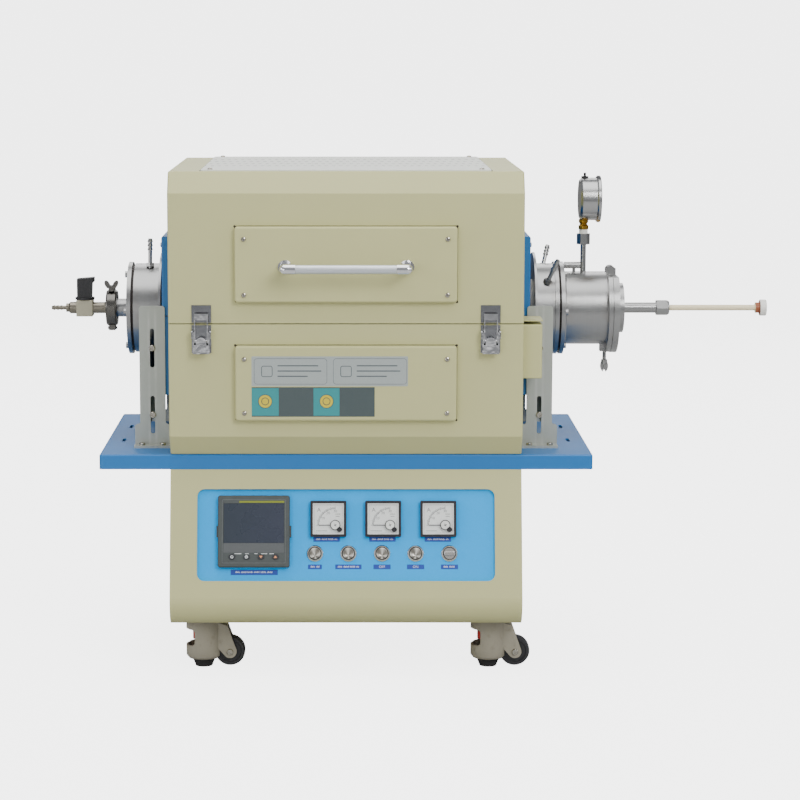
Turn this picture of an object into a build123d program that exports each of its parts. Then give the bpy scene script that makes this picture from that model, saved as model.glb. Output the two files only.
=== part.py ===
from build123d import *
from math import cos, radians, sin, sqrt, tan
import os

os.makedirs("parts", exist_ok=True)

# A split tube furnace on a wheeled cabinet. Millimetres, x along the furnace tube, y to the
# back, z up. Everything is modelled about the tube's middle over the floor, and the whole
# furnace is centred on its own footprint just before it is written.

# ---- heights and depths of the stack, from the floor up ----
castor_height = 71.0
cabinet_height = 206.0
shelf_thick = 20.0
base_height = 178.0
lid_height = 200.0
body_width = 470.0
cabinet_front = -184.0          # at the shelf; the console leans out below it
cabinet_back = 183.0
hearth_depth = 400.0
shelf_width = 661.0
shelf_depth = 366.0
shelf_corner = 4.0
shelf_edge_round = 2.5
shelf_return = 28.0             # folded flange under the shelf's rim
shelf_slot_out = 44.0           # slots beyond each stand's middle
shelf_slot_y = 60.0
shelf_slot_length = 26.0
shelf_slot_width = 5.0

# ---- sheet metal ----
sheet = 2.0
seam_gap = 1.2                  # between the lid and the base, open all round
fit = 0.3                       # between parts that are set together by hand
running = 0.05                  # radial clearance of a pin that turns or slides

# ---- console front of the cabinet ----
console_lean = 14.8             # degrees that the front leans out towards its foot
console_roll = 32.0             # radius that turns the front under
window_width = 397.6
window_height = 122.7
window_drop = 87.7              # from the shelf to the window's middle, down the slope
window_corner = 10.0
window_lip = 5.0                # depth of the returned edge
panel_thick = 2.0
panel_margin = 8.0              # panel beyond the window on each side

# ---- louvre slots in the back of the cabinet ----
back_vent_x = 95.0
back_vent_width = 110.0
back_vent_height = 4.0
back_vent_pitch = 14.0
back_vent_rise = 80.0           # lowest slot above the cabinet's floor
back_vent_count = 7

# ---- instruments on the panel: x of each and its distance down the slope ----
controller_size = 96.0
controller_x = -123.0
controller_drop = 83.0
controller_proud = 9.0
controller_body = 91.0
controller_depth = 62.0
screen_width = 81.0
screen_height = 53.0
screen_rise = 10.9              # screen middle above the controller's middle
screen_sink = 1.2
key_width = 8.6
key_height = 7.0
key_pitch = 19.3
key_fall = 34.2                 # key row below the controller's middle
key_proud = 1.4
key_travel = 0.8
key_count = 4
ear_height = 15.0
ear_proud = 2.0
meter_size = 48.0
meter_frame = 3.2
meter_proud = 7.0
meter_barrel = 45.0
meter_depth = 38.0
meter_x = (-23.6, 49.6, 123.3)
meter_drop = 66.1
meter_dial_sink = 4.6
pivot_right = 9.2               # needle pivot from the meter's middle
pivot_fall = 8.5
needle_length = 22.0
window_glass = 1.0
zero_screw_radius = 3.4
button_x = (-41.5, 3.2, 48.1, 92.9, 138.2)
button_drop = 112.1
button_rim = 22.0
button_cap = 15.0
button_barrel = 19.0
button_rim_proud = 2.6
button_depth = 30.0
button_travel = 3.0
selector_bar_width = 5.0
selector_bar_proud = 7.0

# ---- hearth: base below the seam, lid above it ----
top_chamfer_in = 20.0
top_chamfer_down = 28.0
foot_chamfer_in = 20.0
foot_chamfer_up = 27.0
edge_round = 2.4
cavity_radius = 50.0
fibre_depth = 300.0
fibre_rise = 140.0              # fibre above the seam, in the lid
tray_thick = 1.5
tray_ledge = 12.0
tray_inset = 0.8                # tray above the open edge of its shell
rod_radius = 2.5
rod_count = 5                   # heating rods in each half
rod_end = 22.0                  # rod ends inside the fibre's ends

# ---- covers and plates on the hearth ----
cover_size = 216.0
cover_thick = 15.0
cover_wall = 2.0
cover_bore_gap = 3.0
plate_width = 293.0
plate_height = 100.0
plate_thick = 10.0
plate_round = 3.0
handle_plate_low = 29.0         # above the seam
label_plate_top = 28.5          # below the seam
vent_width = 384.0
vent_front = -177.0
vent_back = 197.0
vent_thick = 1.5
vent_hole = 3.0
vent_pitch = 9.7
vent_columns = 28
vent_rows = 4
vent_row_pitch = 58.7
vent_first_row = -69.0

# ---- handle on the lid ----
handle_rise = 76.0              # above the seam
handle_centres = 160.0
handle_bar_radius = 6.0
handle_end_radius = 7.0
handle_socket = 14.0
handle_stand = 34.0
handle_foot_radius = 9.5
handle_foot_thick = 3.0

# ---- toggle latches ----
latch_x = 191.0
latch_width = 26.0
latch_sheet = 1.6
latch_bottom = 38.5             # below the seam
latch_pivot_fall = 14.0
latch_pivot_out = 8.0
claw_pivot_fall = 22.0
claw_pivot_out = 6.0
claw_pin_radius = 1.2
lever_heel = 4.4                # lever cheek behind its pivot
lever_shoulder = 27.0           # full-width top of the lever, below the seam
lever_tongue_top = 17.0
lever_tongue_half = 6.8
latch_pin_radius = 1.5
catch_top = 25.0
catch_lip_low = 6.0
catch_lip_high = 11.5
catch_lip_out = 8.0

# ---- lid hinges at the back ----
hinge_out = 7.0                 # pin behind the hearth's back
hinge_pin_radius = 3.0
hinge_knuckle_radius = 6.0
hinge_length = 60.0
hinge_leaf = 2.5
hinge_leaf_height = 40.0
hinge_x = 150.0

# ---- lid switch on the right side ----
switch_out = 26.0
switch_front = -185.0
switch_back = -125.0
switch_low = -75.0
switch_top = -3.0
striker_thick = 1.5
striker_up = 14.0

# ---- furnace tube ----
tube_radius = 40.0
tube_wall = 4.0
tube_half = 285.0
plug_length = 60.0
plug_near = 150.0
plug_gas_hole = 6.0

# ---- flange stands ----
stand_x = 263.5
stand_y = 111.0                 # outer face of each leg
stand_sheet = 3.0
stand_neck = 35.0
stand_foot = 49.0
stand_foot_height = 30.0
stand_foot_depth = 20.0
stand_foot_round = 8.0
stand_top = 14.0                # above the tube axis
slot_width = 6.0
upper_slot = (-16.7, -70.0)
lower_slot = (-109.0, -161.0)
saddle_thick = 8.0
saddle_low = 152.0              # below the tube axis
saddle_high = 36.0

# ---- left flange, by distance outwards from the hearth's middle ----
flange_radius = 62.0
shield_radius = 77.5
shield_thick = 3.2
left_inner = 257.7
left_body = 293.4
seal_thick = 3.4
seal_radius = 59.0
left_disc = 302.5
disc_radius = 64.0
bolt_circle = 57.0
bolt_count = 6
bolt_head_radius = 4.4
bolt_head_high = 3.6
pipe_radius = 12.7
pipe_bore = 11.0
clamp_inner = 316.8
clamp_outer = 337.7
clamp_radius = 25.0
coupling_radius = 20.0
coupling_rim = 2.0              # half the two rims together
coupling_taper = 2.3            # radius lost for each mm along a coupling's back
coupling_middle = 327.2
coupling_gap = 0.4              # half the gap that the ring seal stands in

# ---- gas valve ----
valve_pipe_radius = 7.9
valve_block_size = 23.0
valve_block_middle = 365.3
gas_bore = 2.5
connector_end = 391.6
connector_big = 8.2
connector_small = 6.0
barb_end = 412.0
barb_radius = 3.6
barb_neck = 2.8
knob_collar_radius = 13.5
knob_collar_thick = 3.0
knob_width = 21.0
knob_height = 28.0
knob_nib = 3.0
knob_stem_radius = 4.0

# ---- right flange, chamber and door ----
right_inner = 263.0
right_body = 288.8
right_disc_one = 294.0
right_disc_two = 297.0
chamber_start = 302.5
right_disc_radius = 64.5
chamber_radius = 50.8
chamber_wall = 3.5
chamber_end = 362.7
door_ring_radius = 62.0
door_ring_thick = 6.0
door_gap = 0.5
door_thick = 8.3
boss_radius = 34.5
boss_end = 386.7
stub_radius = 7.3
stub_end = 434.0
nut_across = 19.7
nut_end = 452.0
door_mouth_radius = 42.0
door_hinge_rise = 53.0
door_pin_radius = 2.5
door_lug_width = 10.0
door_lug_radius = 6.5
door_lug_gap = 0.4
door_ear_thick = 5.0
door_flat_gap = 0.5             # flats under the hinge stand off its knuckles

# ---- swing bolt under the door ----
bolt_pivot_fall = 57.5
bolt_pivot_x = 362.7
bolt_pin_radius = 1.5
bolt_ear_thick = 3.0
bolt_shank_radius = 2.5
bolt_eye_radius = 4.6
bolt_eye_width = 5.0
bolt_nut_start = 15.6           # nut's face from the pivot, clear of the door when it is swung up
bolt_nut_length = 6.0
bolt_wing_length = 17.0
bolt_length = 30.0

# ---- thermocouple ----
rod_outer_radius = 4.0
sheath_end = 573.0
sheath_inner = 330.0
collar_end = 579.0
cap_end = 588.0
collar_radius = 7.3
cap_radius = 11.3

# ---- pressure gauge ----
gauge_x = 331.0
riser_radius = 4.0
riser_top = 89.0
socket_across = 16.0
socket_top = 104.0
tape_top = 110.0
brass_top = 124.0
gauge_rise = 152.0
gauge_case_radius = 29.5
gauge_case_back = 324.7
gauge_case_front = 348.0
gauge_bezel_radius = 32.5
gauge_bezel_front = 353.6
gauge_sweep = 270.0
filler_radius = 5.0
filler_high = 5.0

# ---- castors with levelling feet ----
castor_x = 194.0
castor_y = 150.0
castor_plate = 62.0
castor_plate_thick = 4.0
kingpin_radius = 12.0
kingpin_bore = 6.0
hub_radius = 24.0
hub_low = 56.0
socket_low = 60.0
skirt_low = 12.0
skirt_wall = 3.0
notch_low = 30.0
notch_high = 52.0
notch_half = 17.0
wheel_radius = 20.5
wheel_width = 17.0
wheel_offset = 36.0
wheel_lift = 1.0                # wheels clear the floor while the feet stand on it
axle_radius = 4.0
cheek_thick = 3.0
cheek_gap = 1.5
cheek_boss = 9.0
foot_screw_radius = 5.0
foot_top_radius = 15.0
foot_sole_radius = 11.5
foot_height = 12.0
thumbwheel_radius = 15.0
thumbwheel_low = 38.0
thumbwheel_high = 48.0
foot_screw_top = 63.0
grip_radius = 1.6
grip_count = 12

# ---- heights that follow ----
cabinet_low = castor_height
cabinet_top = cabinet_low + cabinet_height
shelf_top = cabinet_top + shelf_thick
axis_z = shelf_top + base_height
lid_top = axis_z + lid_height
seam_low = axis_z - seam_gap / 2
seam_high = axis_z + seam_gap / 2
half_width = body_width / 2
hearth_front = -hearth_depth / 2
hearth_back = hearth_depth / 2
lean = radians(console_lean)
hinge_y = hearth_back + hinge_out

hinge_door_x = chamber_end + door_ring_thick + door_gap / 2

nodes = {}


# ---------------------------------------------------------------- helpers
def block(x0, x1, y0, y1, z0, z1):
    """A square block between two corners."""
    return Pos((x0 + x1) / 2, (y0 + y1) / 2, (z0 + z1) / 2) * Box(x1 - x0, y1 - y0, z1 - z0)


def bar_x(radius, x0, x1, y=0.0, z=0.0):
    return Pos((x0 + x1) / 2, y, z) * Rot(0, 90, 0) * Cylinder(radius, abs(x1 - x0))


def bar_y(radius, y0, y1, x=0.0, z=0.0):
    return Pos(x, (y0 + y1) / 2, z) * Rot(90, 0, 0) * Cylinder(radius, abs(y1 - y0))


def bar_z(radius, z0, z1, x=0.0, y=0.0):
    return Pos(x, y, (z0 + z1) / 2) * Cylinder(radius, abs(z1 - z0))


def bar_between(radius, start, end):
    """A round bar from one point to another."""
    path = Vector(*end) - Vector(*start)
    return extrude(Plane(origin=start, z_dir=path) * Circle(radius), amount=path.length)


def prism_x(points, x0, x1):
    """The closed outline of (y, z) points, drawn out along x."""
    outline = make_face(Polyline(*[(x0, y, z) for y, z in points], close=True))
    return extrude(outline, amount=x1 - x0, dir=(1, 0, 0))


def turned_x(points):
    """The closed outline of (x, radius) points, turned about the x axis."""
    outline = make_face(Polyline(*[(x, r, 0) for x, r in points], close=True))
    return revolve(outline, Axis.X)


def turned_z(points):
    """The closed outline of (radius, z) points, turned about the z axis."""
    outline = make_face(Polyline(*[(r, 0, z) for r, z in points], close=True))
    return revolve(outline, Axis.Z)


def washer_x(outer, inner, x0, x1):
    return turned_x([(x0, inner), (x0, outer), (x1, outer), (x1, inner)])


def hexagon_x(across, x0, x1):
    """A hexagonal bar along x with two flats level."""
    section = Plane.YZ.offset(x0) * RegularPolygon(across / 2, 6, major_radius=False)
    return extrude(section, amount=x1 - x0)


def on_axis(solid):
    """Lift a piece made about the x axis to the furnace tube's height."""
    return Pos(0, 0, axis_z) * solid


def add(name, *solids):
    """Put solids into a named sub-part."""
    nodes.setdefault(name, []).extend(solids)


# ---------------------------------------------------------------- cabinet
# The console's plane: x to the right, y up the slope, z out of the panel.
console = Plane(
    origin=(0, cabinet_front, cabinet_top),
    x_dir=(1, 0, 0),
    z_dir=(0, -cos(lean), sin(lean)),
)


def at_console(x, drop, out=0.0):
    """A place on the console, by its distance down the slope and out of the front sheet."""
    return console.location * Pos(x, -drop, out)


def cabinet_outline(inset, top):
    front = cabinet_front + inset / cos(lean)
    foot = cabinet_low + inset
    points = [
        (front + (cabinet_top - top) * -tan(lean), top),
        (front + (cabinet_top - foot) * -tan(lean), foot),
        (cabinet_back - inset, foot),
        (cabinet_back - inset, top),
    ]
    return points


def cabinet_solid(inset, top):
    solid = prism_x(cabinet_outline(inset, top), -half_width + inset, half_width - inset)
    foot_front = solid.edges().filter_by(Axis.X).group_by(Axis.Z)[0].sort_by(Axis.Y)[0]
    return fillet(foot_front, console_roll - inset)


def make_cabinet():
    shell = cabinet_solid(0, cabinet_top) - cabinet_solid(sheet, cabinet_top + sheet)
    opening = extrude(
        at_console(0, window_drop, -window_lip * 2)
        * RectangleRounded(window_width, window_height, window_corner),
        amount=window_lip * 3,
    )
    lip_depth = window_lip - sheet
    lip_out = extrude(
        at_console(0, window_drop, -window_lip)
        * RectangleRounded(
            window_width + 2 * sheet, window_height + 2 * sheet, window_corner + sheet
        ),
        amount=lip_depth,
    )
    shell = shell + lip_out - opening
    half_x = back_vent_width / 2
    half_z = back_vent_height / 2
    vents = []
    for x in (-back_vent_x, back_vent_x):
        for row in range(back_vent_count):
            z = cabinet_low + back_vent_rise + row * back_vent_pitch
            vents.append(block(
                x - half_x, x + half_x, cabinet_back - 2 * sheet, cabinet_back + sheet,
                z - half_z, z + half_z,
            ))
    add("cabinet_shell", shell - vents)


def make_panel():
    width = window_width + 2 * panel_margin
    height = window_height + 2 * panel_margin
    plate = extrude(
        at_console(0, window_drop, -window_lip - panel_thick)
        * RectangleRounded(width, height, window_corner),
        amount=panel_thick,
    )
    holes = [extrude(
        at_console(controller_x, controller_drop, -3 * window_lip)
        * Rectangle(controller_body + fit, controller_body + fit),
        amount=4 * window_lip,
    )]
    for x in meter_x:
        holes.append(extrude(
            at_console(x, meter_drop, -3 * window_lip) * Circle(meter_barrel / 2 + fit),
            amount=4 * window_lip,
        ))
    for x in button_x:
        holes.append(extrude(
            at_console(x, button_drop, -3 * window_lip) * Circle(button_barrel / 2 + fit / 2),
            amount=4 * window_lip,
        ))
    add("control_panel", plate - holes)


# ---------------------------------------------------------------- instruments
panel_face = -window_lip        # the panel's front, measured out of the front sheet


def make_controller():
    front = panel_face + controller_proud
    bezel = extrude(
        at_console(controller_x, controller_drop, panel_face)
        * RectangleRounded(controller_size, controller_size, 3),
        amount=controller_proud,
    )
    bezel = chamfer(bezel.faces().sort_by(Axis.Y)[0].outer_wire().edges(), 1.5)
    screen_pocket = extrude(
        at_console(controller_x, controller_drop - screen_rise, front - screen_sink)
        * Rectangle(screen_width, screen_height),
        amount=2 * screen_sink,
    )
    bezel = bezel - screen_pocket
    key_deep = key_travel + 2.4
    for i in range(key_count):
        x = controller_x + (i - (key_count - 1) / 2) * key_pitch
        bezel = bezel - extrude(
            at_console(x, controller_drop + key_fall, front - key_deep)
            * Ellipse(key_width / 2 + 0.15, key_height / 2 + 0.15),
            amount=2 * key_deep,
        )
        key = extrude(
            at_console(x, controller_drop + key_fall, front + key_proud - key_deep + 0.2)
            * Ellipse(key_width / 2, key_height / 2),
            amount=key_deep - 0.2,
        )
        key = fillet(key.faces().sort_by(Axis.Y)[0].edges(), 0.5)
        add(f"controller_key_{i + 1}", key)
    body = extrude(
        at_console(controller_x, controller_drop, panel_face)
        * Rectangle(controller_body, controller_body),
        amount=-controller_depth,
    )
    ears = [
        extrude(
            at_console(
                controller_x + side * (controller_size + ear_proud) / 2,
                controller_drop,
                panel_face,
            )
            * Rectangle(ear_proud, ear_height),
            amount=controller_proud * 0.6,
        )
        for side in (-1, 1)
    ]
    add("controller", bezel + body, *ears)


def make_meters():
    for i, x in enumerate(meter_x):
        front = panel_face + meter_proud
        frame = extrude(
            at_console(x, meter_drop, panel_face) * RectangleRounded(meter_size, meter_size, 1.5),
            amount=meter_proud,
        )
        face_size = meter_size - 2 * meter_frame
        pocket = extrude(
            at_console(x, meter_drop, front - meter_dial_sink) * Rectangle(face_size, face_size),
            amount=meter_dial_sink * 2,
        )
        barrel = extrude(
            at_console(x, meter_drop, panel_face) * Circle(meter_barrel / 2),
            amount=-meter_depth,
        )
        case = frame - pocket + barrel
        pivot = at_console(x + pivot_right, meter_drop + pivot_fall, front - meter_dial_sink)
        spindle = extrude(pivot * Circle(0.8), amount=meter_dial_sink - window_glass - 0.5)
        case = case + spindle
        glass = extrude(
            at_console(x, meter_drop, front - window_glass)
            * Rectangle(face_size - 0.1, face_size - 0.1),
            amount=window_glass,
        )
        screw_seat = at_console(
            x + pivot_right + zero_screw_radius * 1.65,
            meter_drop + pivot_fall + zero_screw_radius * 1.8,
            front,
        )
        zero_screw = extrude(screw_seat * Circle(zero_screw_radius), amount=1.4)
        add("meter_cases", case, zero_screw)
        add("instrument_windows", glass)
        hub_out = front - meter_dial_sink + 0.6
        hub = at_console(x + pivot_right, meter_drop + pivot_fall, hub_out)
        needle = extrude(hub * Circle(3.2), amount=1.2)
        arm = extrude(
            hub * Pos(-needle_length / 2, 0, 0) * Rectangle(needle_length, 1.3), amount=1.0
        )
        needle = needle + arm - extrude(hub * Pos(0, 0, -1) * Circle(0.8 + running), amount=4)
        add(f"meter_needle_{i + 1}", needle)


def make_buttons():
    front = panel_face + button_rim_proud
    for i, x in enumerate(button_x):
        seat = at_console(x, button_drop, panel_face)
        rim = extrude(seat * Circle(button_rim / 2), amount=button_rim_proud)
        rim = chamfer(rim.faces().sort_by(Axis.Y)[0].edges(), 1.2)
        barrel = extrude(seat * Circle(button_barrel / 2), amount=-button_depth)
        cap_radius_here = button_cap / 2
        bore_floor = -button_depth + 6
        bore = extrude(
            at_console(x, button_drop, panel_face + bore_floor) * Circle(cap_radius_here + running),
            amount=button_depth + button_rim_proud,
        )
        add("button_bezels", rim + barrel - bore)
        if i < len(button_x) - 1:
            low = bore_floor + button_travel + 1
            cap = extrude(
                at_console(x, button_drop, panel_face + low) * Circle(cap_radius_here),
                amount=button_rim_proud + 1.0 - low,
            )
            cap = fillet(cap.faces().sort_by(Axis.Y)[0].edges(), 0.8)
            dish = at_console(x, button_drop, front + 1.0 + 24.6) * Sphere(25.0)
            add(f"push_button_{i + 1}", cap - dish)
        else:
            low = bore_floor + fit
            knob = extrude(
                at_console(x, button_drop, panel_face + low) * Circle(cap_radius_here),
                amount=button_rim_proud + 0.6 - low,
            )
            bar = extrude(
                at_console(x, button_drop, front)
                * RectangleRounded(button_cap * 0.94, selector_bar_width, 1.2),
                amount=selector_bar_proud - button_rim_proud,
            )
            bar = fillet(bar.faces().sort_by(Axis.Y)[0].edges(), 0.8)
            add("selector_switch", knob + bar)


# ---------------------------------------------------------------- shelf
def make_shelf():
    half_w = shelf_width / 2
    half_d = shelf_depth / 2
    slab = block(-half_w, half_w, -half_d, half_d, cabinet_top, shelf_top)
    slab = fillet(slab.edges().filter_by(Axis.Z), shelf_corner)
    slab = fillet(slab.faces().sort_by(Axis.Z)[-1].edges(), shelf_edge_round)
    hollow = block(
        -half_w + sheet, half_w - sheet, -half_d + sheet, half_d - sheet,
        cabinet_top + sheet, shelf_top - sheet,
    )
    mouth_w = half_w - shelf_return
    mouth_d = half_d - shelf_return
    mouth = block(-mouth_w, mouth_w, -mouth_d, mouth_d, cabinet_top - sheet, shelf_top - sheet)
    tray = slab - hollow - mouth
    slots = [
        Pos(side * (stand_x + shelf_slot_out), y, shelf_top)
        * Rot(0, 0, 90)
        * SlotOverall(shelf_slot_length, shelf_slot_width)
        for side in (-1, 1)
        for y in (-shelf_slot_y, shelf_slot_y)
    ]
    for slot in slots:
        tray = tray - extrude(slot, amount=sheet, both=True)
    add("shelf_tray", tray)


# ---------------------------------------------------------------- hearth
def base_outline(inset, top):
    run = foot_chamfer_in / foot_chamfer_up
    front = hearth_front + inset
    foot = shelf_top + inset
    knee = shelf_top + foot_chamfer_up + inset * (sqrt(1 + run * run) - run) * 0.5
    return [
        (front + (knee - foot) * run, foot),
        (front, knee),
        (front, top),
        (hearth_back - inset, top),
        (hearth_back - inset, foot),
    ]


def lid_outline(inset, bottom):
    run = top_chamfer_in / top_chamfer_down
    front = hearth_front + inset
    top = lid_top - inset
    knee = lid_top - top_chamfer_down - inset * (sqrt(1 + run * run) - run) * 0.5
    return [
        (front, bottom),
        (front, knee),
        (front + (top - knee) * run, top),
        (hearth_back - inset, top),
        (hearth_back - inset, bottom),
    ]


def hearth_shell(outline, closed_z, open_z):
    """A sheet-metal half hearth, open towards the seam."""
    up = 1 if open_z > closed_z else -1
    outer = prism_x(outline(0, open_z), -half_width, half_width)
    sides = outer.edges().filter_by(Axis.X, reverse=True)
    off_seam = [e for e in sides if abs(e.center().Z - open_z) > 0.01]
    along = [
        e for e in outer.edges().filter_by(Axis.X) if abs(e.center().Z - open_z) > 0.01
    ]
    outer = fillet(off_seam + along, edge_round)
    inner = prism_x(outline(sheet, open_z + up), -half_width + sheet, half_width - sheet)
    tube_way = bar_x(cavity_radius, -half_width - 1, half_width + 1, 0, axis_z)
    return outer - inner - tube_way


def seam_trays(z_seam, up):
    """The flat strips that close a half at its seam, before and behind the fibre."""
    z0 = z_seam + up * tray_inset
    z1 = z0 + up * tray_thick
    half_x = half_width - sheet
    reach = fibre_depth / 2 - tray_ledge
    spans = ((hearth_front + sheet, -reach), (reach, hearth_back - sheet))
    return [block(-half_x, half_x, y0, y1, min(z0, z1), max(z0, z1)) for y0, y1 in spans]


def fibre_half(z_seam, z_far, up):
    """Ceramic fibre with a half-round heating chamber and grooves for the rods."""
    half_x = half_width - sheet
    tray_back = z_seam + up * (tray_inset + tray_thick)
    reach = fibre_depth / 2
    lip = reach - tray_ledge - fit
    main = block(-half_x, half_x, -reach, reach, min(tray_back, z_far), max(tray_back, z_far))
    lip_z = (z_seam + up * fit, tray_back)
    face = block(-half_x, half_x, -lip, lip, min(lip_z), max(lip_z))
    fibre = main + face - bar_x(cavity_radius, -half_x - 1, half_x + 1, 0, axis_z)
    rods = []
    for i in range(rod_count):
        angle = radians(180 * (i + 0.5) / rod_count)
        y = cos(angle) * (cavity_radius + rod_radius * 0.4)
        z = axis_z + up * sin(angle) * (cavity_radius + rod_radius * 0.4)
        fibre = fibre - bar_x(rod_radius + fit, -half_x + rod_end, half_x - rod_end, y, z)
        rods.append(bar_x(rod_radius, -half_x + rod_end + fit, half_x - rod_end - fit, y, z))
    return fibre, rods


def make_hearth():
    base = hearth_shell(base_outline, shelf_top, seam_low)
    add("hearth_base", base, *seam_trays(seam_low, -1))
    fibre, rods = fibre_half(seam_low, shelf_top + sheet, -1)
    add("base_insulation", fibre, *rods)

    lid = hearth_shell(lid_outline, lid_top, seam_high)
    air_hole = block(
        -vent_columns * vent_pitch / 2 - 8, vent_columns * vent_pitch / 2 + 8,
        vent_first_row - 14, vent_first_row + (vent_rows - 1) * vent_row_pitch + 14,
        lid_top - 2 * sheet, lid_top + 1,
    )
    add("lid_shell", lid - air_hole, *seam_trays(seam_high, 1))
    fibre, rods = fibre_half(seam_high, axis_z + fibre_rise, 1)
    add("lid_insulation", fibre, *rods)


def make_vent_plate():
    half = vent_width / 2
    plate = block(-half, half, vent_front, vent_back, lid_top, lid_top + vent_thick)
    plate = fillet(plate.edges().filter_by(Axis.Z), 3)
    holes = []
    for row in range(vent_rows):
        shift = vent_pitch / 4 * (1 if row % 2 else -1)
        for column in range(vent_columns):
            x = (column - (vent_columns - 1) / 2) * vent_pitch + shift
            y = vent_first_row + row * vent_row_pitch
            holes.append(Pos(x, y, 0) * Circle(vent_hole / 2))
    cut = extrude(Pos(0, 0, lid_top - 1) * Sketch(children=holes), amount=vent_thick + 2)
    add("vent_plate", plate - cut)


def end_cover(side, up):
    """One dished half cover over the joint between the hearth's end and the tube."""
    half = cover_size / 2
    x0 = side * half_width
    x1 = side * (half_width + cover_thick)
    z0 = axis_z + up * seam_gap / 2
    z1 = axis_z + up * half
    lo_x, hi_x = min(x0, x1), max(x0, x1)
    lo_z, hi_z = min(z0, z1), max(z0, z1)
    cover = block(lo_x, hi_x, -half, half, lo_z, hi_z)
    outer_face = cover.faces().sort_by(Axis.X)[-1 if side > 0 else 0]
    rounded = [e for e in outer_face.edges() if abs(e.center().Z - z0) > 0.01]
    cover = fillet(rounded, 2.5)
    w = cover_wall
    hollow = block(
        lo_x - (w if side > 0 else -w), hi_x - (w if side > 0 else -w),
        -half + w, half - w,
        lo_z + w, hi_z - w,
    )
    reach = tube_radius + cover_bore_gap
    collar = on_axis(bar_x(reach + w, lo_x, hi_x)) & block(
        lo_x, hi_x, -half, half, lo_z, hi_z
    )
    return cover - hollow + collar - on_axis(bar_x(reach, lo_x - 1, hi_x + 1))


def make_end_covers():
    for side in (-1, 1):
        add("end_covers_upper", end_cover(side, 1))
        add("end_covers_lower", end_cover(side, -1))


def dished_plate(z_low):
    """A folded front plate with rounded edges, hollow behind."""
    half = plate_width / 2
    face_y = hearth_front - plate_thick
    plate = block(-half, half, face_y, hearth_front, z_low, z_low + plate_height)
    plate = fillet(plate.edges().filter_by(Axis.Y), 4)
    plate = fillet(plate.faces().sort_by(Axis.Y)[0].edges(), plate_round)
    hollow = block(
        -half + sheet, half - sheet, face_y + sheet, hearth_front + 1,
        z_low + sheet, z_low + plate_height - sheet,
    )
    return plate - hollow


def make_plates_and_handle():
    z_low = axis_z + handle_plate_low
    face_y = hearth_front - plate_thick
    bar_axis_y = face_y - handle_stand
    z = axis_z + handle_rise
    bar_half = handle_centres / 2 - handle_socket
    grip = bar_x(handle_bar_radius, -bar_half - 3, bar_half + 3, bar_axis_y, z)
    ends = []
    for side in (-1, 1):
        x = side * handle_centres / 2
        post = bar_y(handle_end_radius - 0.8, bar_axis_y, face_y, x, z)
        elbow = Pos(x, bar_axis_y, z) * Sphere(handle_end_radius)
        sleeve = bar_x(
            handle_end_radius, min(x, side * bar_half), max(x, side * bar_half), bar_axis_y, z
        )
        foot = bar_y(handle_foot_radius, face_y - handle_foot_thick, face_y, x, z)
        socket = bar_x(
            handle_bar_radius + running, -bar_half - 4, bar_half + 4, bar_axis_y, z
        )
        ends.append(post + elbow + sleeve + foot - socket)
    add("lid_handle", dished_plate(z_low), grip, *ends)
    add("label_plate", dished_plate(axis_z - label_plate_top - plate_height))


# ---------------------------------------------------------------- hinges, latches, switch
def make_hinges():
    """Two butt hinges behind the hearth, with the fixed leaf's pins through both."""
    third = hinge_length / 3
    for side in (-1, 1):
        x0 = side * hinge_x - hinge_length / 2
        y0 = hearth_back
        leaf_low = block(
            x0, x0 + hinge_length, y0, y0 + hinge_leaf,
            axis_z - hinge_leaf_height, axis_z - hinge_knuckle_radius,
        )
        leaf_high = block(
            x0, x0 + hinge_length, y0, y0 + hinge_leaf,
            axis_z + hinge_knuckle_radius, axis_z + hinge_leaf_height,
        )
        for i in (0, 2):
            start = x0 + i * third + (fit if i else 0)
            end = x0 + (i + 1) * third - (0 if i else fit)
            knuckle = bar_x(hinge_knuckle_radius, start, end, hinge_y, axis_z)
            web = block(
                start, end, y0, y0 + hinge_leaf, axis_z - hinge_knuckle_radius, axis_z - seam_gap
            ) + block(
                start, end, y0, hinge_y, axis_z - hinge_knuckle_radius, axis_z - hinge_leaf
            )
            leaf_low = leaf_low + knuckle + web
        middle = bar_x(
            hinge_knuckle_radius, x0 + third + fit, x0 + 2 * third - fit, hinge_y, axis_z
        )
        arm = block(
            x0 + third + fit, x0 + 2 * third - fit, y0, hinge_y,
            axis_z + hinge_leaf, axis_z + hinge_knuckle_radius,
        )
        bore = bar_x(hinge_pin_radius + running, x0 - 1, x0 + hinge_length + 1, hinge_y, axis_z)
        pin = bar_x(hinge_pin_radius, x0, x0 + hinge_length, hinge_y, axis_z)
        fixed = leaf_low - bar_x(
            hinge_pin_radius, x0 - 1, x0 + hinge_length + 1, hinge_y, axis_z
        )
        add("base_hardware", fixed, pin)
        add("lid_hardware", leaf_high + middle + arm - bore)


def latch_base(x):
    """Base plate with two ears, and the two rivets that the lever turns on."""
    half = latch_width / 2
    t = latch_sheet
    pivot_y = hearth_front - latch_pivot_out
    pivot_z = axis_z - latch_pivot_fall
    base = block(
        x - half, x + half, hearth_front - t, hearth_front, axis_z - latch_bottom, seam_low - 1
    )
    rivets = []
    for ear in (-1, 1):
        e = x + ear * (half - t / 2)
        cheek = block(
            e - t / 2, e + t / 2, pivot_y - 4, hearth_front, pivot_z - 6, pivot_z + 6
        )
        base = base + fillet(cheek.edges().filter_by(Axis.X).sort_by(Axis.Y)[:2], 3.5)
        inner = x + ear * (half - 2 * t - fit)
        outer = x + ear * half
        rivets.append(
            bar_x(latch_pin_radius, min(inner, outer), max(inner, outer), pivot_y, pivot_z)
        )
    return [base - bar_x(latch_pin_radius, x - half - 1, x + half + 1, pivot_y, pivot_z)] + rivets


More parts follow.
